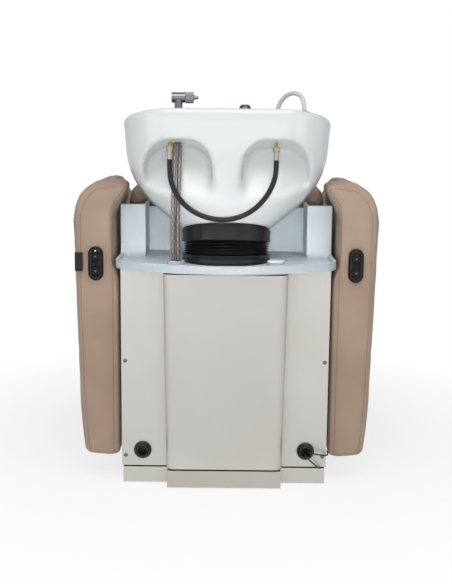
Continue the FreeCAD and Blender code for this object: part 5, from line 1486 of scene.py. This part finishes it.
@dataclass(frozen=True)
class Stitching:
    """Rows of sewn thread.

    Attributes:
        pitch: Distance from stitch to stitch.
        length: Length of one stitch.
        thickness: Thickness of the thread, drawn coarser than the real 1 mm to stay visible.
        spacing: Distance between the points that a row is snapped to its cover by.
        proud: Share of its thickness by which a row's line stands off the cover.
    """

    pitch: float = 0.0075
    length: float = 0.0052
    thickness: float = 0.0020
    spacing: float = 0.005
    proud: float = 0.2

    def dense(self, corners: Sequence[Vector]) -> list[Vector]:
        """Points close together along straight runs between corners."""
        points = []
        for before, after in zip(corners, corners[1:]):
            count = max(1, round((after - before).length / self.spacing))
            points += [before.lerp(after, step / count) for step in range(count)]
        return points + [corners[-1]]

    def sew(self, name: str, lines: Sequence[Sequence[Vector]], cover: Object,
            finish: Material) -> Object:
        """Sew rows of stitches on a cover with one node tree.

        Args:
            name: Name of the piece.
            lines: Corners of each row.
            cover: The padded piece that they lie on.
            finish: Material of the thread.

        Returns:
            The stitches as one mesh.
        """
        surface = BVHTree.FromPolygons([vertex.co for vertex in cover.data.vertices],
                                       [polygon.vertices for polygon in cover.data.polygons])
        points: list[Vector] = []
        edges: list[tuple[int, int]] = []
        for corners in lines:
            start = len(points)
            for place in self.dense(corners):
                found, normal, _, _ = surface.find_nearest(place)
                points.append(found + normal * (self.proud * self.thickness))
            edges += [(number, number + 1) for number in range(start, len(points) - 1)]
        mesh = bpy.data.meshes.new(name)
        mesh.from_pydata([tuple(point) for point in points], edges, [])
        sizes = {"Pitch": self.pitch, "Half length": self.length / 2,
                 "Half thickness": self.thickness / 2}
        return shade(scatter(new_object(name, mesh), finish, sizes, self.draw_stitch))

    def draw_stitch(self, tree: NodeTree, given: Mapping[str, NodeSocket]) -> dict[str, object]:
        """Add the nodes of one stitch and of its places along the rows.

        Args:
            tree: The node tree.
            given: Its inputs.

        Returns:
            Inputs that lay stitches one after another along every row.
        """
        row = add_node(tree, "GeometryNodeMeshToCurve", {0: given["Places"]})
        steps = add_node(tree, "GeometryNodeResampleCurve",
                         {0: row, "Length": given["Pitch"]}, mode="LENGTH")
        bead = add_node(tree, "GeometryNodeMeshUVSphere", {"Segments": 8, "Rings": 6, "Radius": 1.0})
        half = given["Half thickness"]
        stretch = add_node(tree, "ShaderNodeCombineXYZ", {0: given["Half length"], 1: half, 2: half})
        stitch = add_node(tree, "GeometryNodeTransform", {0: bead, "Scale": stretch})
        tangent = add_node(tree, "GeometryNodeInputTangent")
        along = add_node(tree, "FunctionNodeAlignRotationToVector", {"Vector": tangent}, axis="X")
        return {"Points": steps, "Instance": stitch, "Rotation": along}


@dataclass(frozen=True)
class Pad:
    """A padded piece whose cover is blown up as cloth and drawn in at its seams.

    Attributes:
        node: The CAD solid that it stands for.
        body: The body that it rides on.
        face: Direction that its cushioned side faces.
        grid: Size of the even mesh of its cover.
        shrink: How far the cover starts inside the CAD solid.
        most: The furthest that the cover may move from it.
        pressure: Air pressure of the simulated filling.
        frames: Frames of the simulation.
        groove: Depth of the seams.
        ease: Rounds of smoothing of that mesh.
        seam_angle: Angle from the face at which the edge seam runs, in degrees.
        seam_spread: Width of that seam, in parts of a normal along the face's direction.
        sewn: Nearness to a seam from which a point is held by it.
        away: Part of a normal along a direction below which a point is on the far side.
        fill: How tightly it is stuffed; not used.
        lined: Boards that the cover wraps too.
    """

    node: str
    body: str
    face: Point
    grid: float = 0.008
    shrink: float = 0.002
    most: float = 0.006
    pressure: float = 4.0
    frames: int = 14
    groove: float = 0.003
    ease: int = 3
    seam_angle: float = 50.0
    seam_spread: float = 0.08
    sewn: float = 0.6
    away: float = -0.8
    fill: float = 0.7
    lined: tuple[str, ...] = ()

    def even_cover(self) -> Object:
        """Copy the CAD solid, and any board that its cover wraps, with an even, slightly eased mesh."""
        piece = merged_copy(self.node, f"{self.node}_cover")
        for node in self.lined:
            board = merged_copy(node, f"{node}_lining")
            with edited(piece.data) as shape:
                shape.from_mesh(board.data)
            bpy.data.objects.remove(board)
        return even_mesh(piece, self.grid, self.ease)

    def seam_share(self, places: np.ndarray, normals: np.ndarray) -> np.ndarray:
        """How near each point of the cover is to a seam, from 0 to 1."""
        facing = normals @ np.array(self.face) - math.cos(math.radians(self.seam_angle))
        return np.exp(-(facing / self.seam_spread) ** 2)

    def held(self, places: np.ndarray, normals: np.ndarray) -> np.ndarray:
        """Which points of the cover are stapled or sewn down."""
        underside = normals @ np.array(self.face) < self.away
        return underside | (self.seam_share(places, normals) > self.sewn)

    def swell(self, piece: Object) -> None:
        """Blow the cover up as cloth that is held at its seams and its underside."""
        mesh = piece.data
        rest = coordinates(mesh)
        normals = vertex_normals(mesh)
        held = self.held(rest, normals)
        set_coordinates(mesh, rest - normals * self.shrink)
        piece.vertex_groups.new(name="held").add(np.flatnonzero(held).tolist(), 1.0, "REPLACE")
        cloth = piece.modifiers.new("cover", "CLOTH")
        for name, value in {"quality": 4, "mass": 0.5, "tension_stiffness": 25.0,
                            "compression_stiffness": 20.0, "shear_stiffness": 10.0,
                            "bending_stiffness": 2.0, "use_pressure": True,
                            "uniform_pressure_force": self.pressure,
                            "vertex_group_mass": "held"}.items():
            setattr(cloth.settings, name, value)
        cloth.settings.effector_weights.gravity = 0.0
        cloth.collision_settings.use_collision = False
        cloth.point_cache.frame_end = self.frames
        for number in range(1, self.frames + 1):
            bpy.context.scene.frame_set(number)
        blown = piece.evaluated_get(bpy.context.evaluated_depsgraph_get())
        move = coordinates(blown.to_mesh()) - rest
        blown.to_mesh_clear()
        piece.modifiers.remove(cloth)
        piece.vertex_groups.clear()
        bpy.context.scene.frame_set(1)
        length = np.linalg.norm(move, axis=1, keepdims=True)
        LOG.info("%s moved up to %.1f mm as cloth", piece.name, length.max() * 1000)
        set_coordinates(mesh, rest + move * np.minimum(1.0, self.most / np.maximum(length, 1e-9)))

    def press(self, piece: Object, depth: np.ndarray) -> None:
        """Move every point of the cover inwards by a depth of its own."""
        inwards = vertex_normals(piece.data) * depth[:, None]
        set_coordinates(piece.data, coordinates(piece.data) - inwards)

    def draw_in(self, piece: Object) -> None:
        """Draw the cover in along its seams."""
        share = self.seam_share(coordinates(piece.data), vertex_normals(piece.data))
        self.press(piece, share * self.groove)

    def finish(self, piece: Object, palette: Palette) -> Object:
        """Dress the cover and put it in the CAD solid's place."""
        dress(shade(piece), palette.leather)
        return seat_on(piece, self.body, Slot.LEATHER, self.node, *self.lined)

    def build(self, palette: Palette) -> Object:
        """Make the padded piece, from even mesh to finished cover.

        Args:
            palette: The unit's finishes.

        Returns:
            The finished piece.
        """
        piece = self.even_cover()
        self.swell(piece)
        self.draw_in(piece)
        piece.modifiers.new("finer", "SUBSURF").levels = 1
        return self.finish(bake_modifiers(piece), palette)


@dataclass(frozen=True)
class Backrest(Pad):
    """The leaning backrest, gathered into pleats at its two shoulders.

    Attributes:
        foot: Middle of its lower edge.
        lean: Its angle from upright.
        shoulder: Place of a shoulder's middle across and up the backrest.
        pleat: Depth of a pleat.
        pleats: Pleats in a full turn about a shoulder.
        reach: Distance from a shoulder's middle at which the pleats fade.
        ring: Middle and width of the pleated ring, in shares of that distance.
        uneven: Strength and number of the waves that make the pleats uneven.
    """

    foot: Vector = field(default_factory=lambda: behind_panel(0.0, 452.0, 452.0))
    lean: float = math.radians(25.0)
    shoulder: tuple[float, float] = (0.205, 0.285)
    pleat: float = 0.0032
    pleats: int = 26
    reach: float = 0.075
    ring: tuple[float, float] = (0.55, 0.5)
    uneven: tuple[float, float] = (1.7, 3.0)

    def draw_in(self, piece: Object) -> None:
        """Draw the cover in along its seams and gather it at the shoulders."""
        super().draw_in(piece)
        places = coordinates(piece.data)
        up = np.array((0.0, -math.sin(self.lean), math.cos(self.lean)))
        across = np.abs(places[:, 0]) - self.shoulder[0]
        rise = (places - np.array(self.foot)) @ up - self.shoulder[1]
        angle = np.arctan2(rise, across)
        middle, width = (share * self.reach for share in self.ring)
        fade = np.exp(-((np.hypot(across, rise) - middle) / width) ** 2)
        strength, waves = self.uneven
        fold = 0.5 + 0.5 * np.cos(self.pleats * angle + strength * np.sin(waves * angle))
        self.press(piece, self.pleat * fade * fold)


# Corners of an arm's back seams: up the flank, across and in shares of the shoulder's height
FLANK_SEAM = ((-0.003, 0.36), (-0.002, 0.66))
# The others, across and up from a corner of the panel
SHOULDER_SEAM = ((0.0, -0.04), (-0.003, -0.014), (-0.013, 0.013))
TOP_SEAM = ((0.02, -0.022), (0.003, -0.005), (-0.018, 0.0))
TIP_SEAM = ((-0.004, -0.001), (-0.016, -0.006))
WING_SEAM = ((0.008, -0.063), (0.003, -0.039), (-0.009, -0.017))


@dataclass(frozen=True)
class Arm(Pad):
    """One wide padded arm, sewn from a back panel, side panels and a top.

    Attributes:
        sewn: Nearness to a seam from which a point is held by it.
        inner: Distance of its inner side from the middle.
        outer: Distance of its outer side at the shoulder.
        foot: Distance of its outer side at the foot.
        back: Y of its back face.
        front: Y of its front face.
        low: Height of its underside.
        top: Height of its top.
        slope_start: Y at which the top starts to slope down.
        front_top: Height of the top at the front.
        chamfer: Width and drop of the eased outer top edge.
        wing: Place across and height of the middle of the wing that leans in at the back.
        wing_end: Y of the wing's front end.
        wing_line: Start below the wing's middle and height of its slanting inner side.
        wing_shift: Place of that side across from the arm's inner side, and how far it leans in.
        fuller: How far wadding fills the outer side out, at the foot and at the top.
        inward: How far it fills the inner side in below the tray.
        tray_z: Height of the tray's underside.
        inset: Distance of the back panel's seam from the outer edge.
        near: Distance of a seam from an edge that it runs along.
        seam_end: How far behind the front, and above its top, the top's seams end.
        seam_width: Half the width that a seam draws in.
        melt: Width of the places that the cover bridges, at the wing's root and the foot's corner.
        passes: Rounds of smoothing there.
    """

    sewn: float = 0.5
    inner: float = 0.285
    outer: float = 0.390
    foot: float = 0.360
    back: float = PANEL_Y + 0.020
    front: float = 0.4825
    low: float = 0.064
    top: float = 0.803
    slope_start: float = PANEL_Y + 0.300
    front_top: float = 0.640
    chamfer: tuple[float, float] = (0.062, 0.074)
    wing: tuple[float, float] = (0.275, 0.773)
    wing_end: float = PANEL_Y + 0.140
    wing_line: tuple[float, float] = (0.061, 0.078)
    wing_shift: tuple[float, float] = (0.007, 0.047)
    fuller: tuple[float, float] = (0.015, 0.003)
    inward: float = 0.009
    tray_z: float = 0.572
    inset: float = 0.0145
    near: float = 0.008
    seam_end: tuple[float, float] = (0.07, 0.018)
    seam_width: float = 0.007
    melt: float = 0.055
    passes: int = 16

    def stuffed(self, places: np.ndarray) -> np.ndarray:
        """Move the cover's points to where the wadding pushes them.

        Args:
            places: Points of the cover.

        Returns:
            The points, further out on the outer side, further in below the tray, with a slanting wing.
        """
        across = np.abs(places[:, 0])
        height = np.clip((places[:, 2] - self.low) / (self.top - self.low), 0.0, 1.0)
        outside = np.clip((across - self.inner) / (self.foot - self.inner), 0.0, 1.0)
        rear = np.clip((self.wing_end - places[:, 1]) / self.melt, 0.0, 1.0)
        below = np.clip(2.0 * (self.tray_z - places[:, 2]) / self.melt, 0.0, 1.0)
        moved = across + outside * (self.fuller[0] + (self.fuller[1] - self.fuller[0]) * height)
        moved -= self.inward * (1.0 - outside) * rear * below
        start, tall = self.wing_line
        slant = np.clip((places[:, 2] - self.wing[1] + start) / tall, 0.0, 1.0)
        wing = self.inner + self.wing_shift[0] - self.wing_shift[1] * slant
        moved = np.where(below > 0.0, moved, np.maximum(moved, wing))
        return np.column_stack((np.copysign(moved, places[:, 0]), places[:, 1:]))

    def even_cover(self) -> Object:
        """Bridge the wing's root and round the foot's outer corner, as cloth over wadding does."""
        piece = super().even_cover()
        set_coordinates(piece.data, self.stuffed(coordinates(piece.data)))
        places = coordinates(piece.data)
        across = np.abs(places[:, 0])
        root = np.hypot(across - self.inner, places[:, 2] - self.wing[1] + self.near) < self.melt
        root &= places[:, 1] < self.wing_end + self.melt
        corner = np.hypot(across - self.foot - self.fuller[0], places[:, 2] - self.low) < self.melt
        return eased(piece, self.passes, root | corner)

    def seams(self, sign: float) -> list[list[Vector]]:
        """Corners of the seams: up both sides of the back panel to the wing's tip, and along the top."""
        foot = self.foot + self.fuller[0]
        rise, high = self.outer + self.fuller[1] - self.inset, self.top - self.inset
        ease_x, ease_z = self.outer - self.chamfer[0], self.top - self.chamfer[1]
        edge = self.inner + self.near
        outside = [(foot - self.inset, self.low)]
        outside += [(x + across, share * ease_z) for x, (across, share) in zip((foot, rise), FLANK_SEAM)]
        for x, z, line in ((rise, ease_z, SHOULDER_SEAM), (ease_x, high, TOP_SEAM),
                           (self.wing[0], high, TIP_SEAM)):
            outside += [(x + across, z + up) for across, up in line]
        inside = [(edge, self.low)]
        inside += [(self.inner + across, self.wing[1] + up) for across, up in WING_SEAM]
        inside.append(outside[-1])
        lines = [[Vector((sign * x, self.back, z)) for x, z in panel] for panel in (outside, inside)]
        end = (self.front - self.seam_end[0], self.front_top + self.seam_end[1])
        slope = [(self.slope_start, self.top), end]
        for x, start in ((edge, self.wing_end), (ease_x, self.back + 3 * self.inset)):
            lines.append([Vector((sign * x, y, z)) for y, z in [(start, self.top)] + slope])
        return lines

    def seam_share(self, places: np.ndarray, normals: np.ndarray) -> np.ndarray:
        """How near each point of the cover is to one of the sewn lines, from 0 to 1."""
        sign = math.copysign(1.0, places[:, 0].mean())
        nearest = np.full(len(places), np.inf)
        for corners in self.seams(sign):
            for before, after in zip(corners, corners[1:]):
                run, away = np.array(after - before), places - np.array(before)
                share = np.clip(away @ run / (run @ run), 0.0, 1.0)
                nearest = np.minimum(nearest, np.linalg.norm(away - share[:, None] * run, axis=1))
        return np.exp(-(nearest / self.seam_width) ** 2)

    def held(self, places: np.ndarray, normals: np.ndarray) -> np.ndarray:
        """Points at the seams, the underside and the inner side, which its frame carries."""
        sign = math.copysign(1.0, places[:, 0].mean())
        carried = (normals[:, 2] < self.away) | (normals[:, 0] * sign < self.away)
        return carried | (self.seam_share(places, normals) > self.sewn)

    def mirrored(self, other: Object, palette: Palette) -> Object:
        """Make this arm as the mirror image of the finished one on the other side."""
        mesh = other.data.copy()
        mesh.name = f"{self.node}_cover"
        mesh.transform(Matrix.Scale(-1.0, 4, (1.0, 0.0, 0.0)))
        mesh.flip_normals()
        return self.finish(new_object(mesh.name, mesh), palette)


@dataclass(frozen=True)
class Chair:
    """Seat, backrest, arms and leg rest.

    Attributes:
        seat: The seat's cushion.
        legrest: The leg rest's cushion.
        backrest: The backrest's cushion, which faces forward and up.
        left: The left arm.
        right: The right arm, its mirror image.
        thread: The seams' stitches.
    """

    seat: Pad = Pad("seat_cushion", "base", (0.0, 0.0, 1.0))
    legrest: Pad = Pad("legrest_cushion", "legrest", (0.0, 1.0, 0.0))
    backrest: Backrest = Backrest("backrest_cushion", "base",
                                  (0.0, math.cos(Backrest.lean), math.sin(Backrest.lean)),
                                  lined=("backrest_board",))
    left: Arm = Arm("arm_left", "base", (-1.0, 0.0, 0.0), grid=0.009, groove=0.0048, fill=0.8)
    right: Arm = Arm("arm_right", "base", (1.0, 0.0, 0.0), grid=0.009, groove=0.0048, fill=0.8)
    thread: Stitching = Stitching()

    def build(self, palette: Palette) -> None:
        """Upholster every padded piece and finish its board."""
        for pad in (self.seat, self.legrest, self.backrest):
            pad.build(palette)
        left = self.left.build(palette)
        right = self.right.mirrored(left, palette)
        for arm, cover, sign in ((self.left, left, -1.0), (self.right, right, 1.0)):
            name = f"{arm.node}_stitches"
            rows = self.thread.sew(name, arm.seams(sign), cover, palette.thread)
            seat_on(rows, arm.body, Slot.LEATHER)
        dress_nodes(palette.plywood, "seat_board", "legrest_board")


def main() -> None:
    """Set the studio, then build and dress every sub-assembly."""
    logging.basicConfig(level=logging.INFO, format="%(message)s")
    Studio().build()
    palette = Palette()
    Plumbing().build(palette)
    Bellows(Vector((0.0, -0.41245, 0.592)), basin_point(0.0, 0.0, 24.5)).build(palette.rubber)
    Basin().build(palette.ceramic)
    Tray().build(palette)
    Cabinet().build(palette)
    Taps().build(palette)
    Handsets().build(palette)
    SideTag().build(palette.tape)
    Chair().build(palette)


if __name__ == "__main__":
    main()
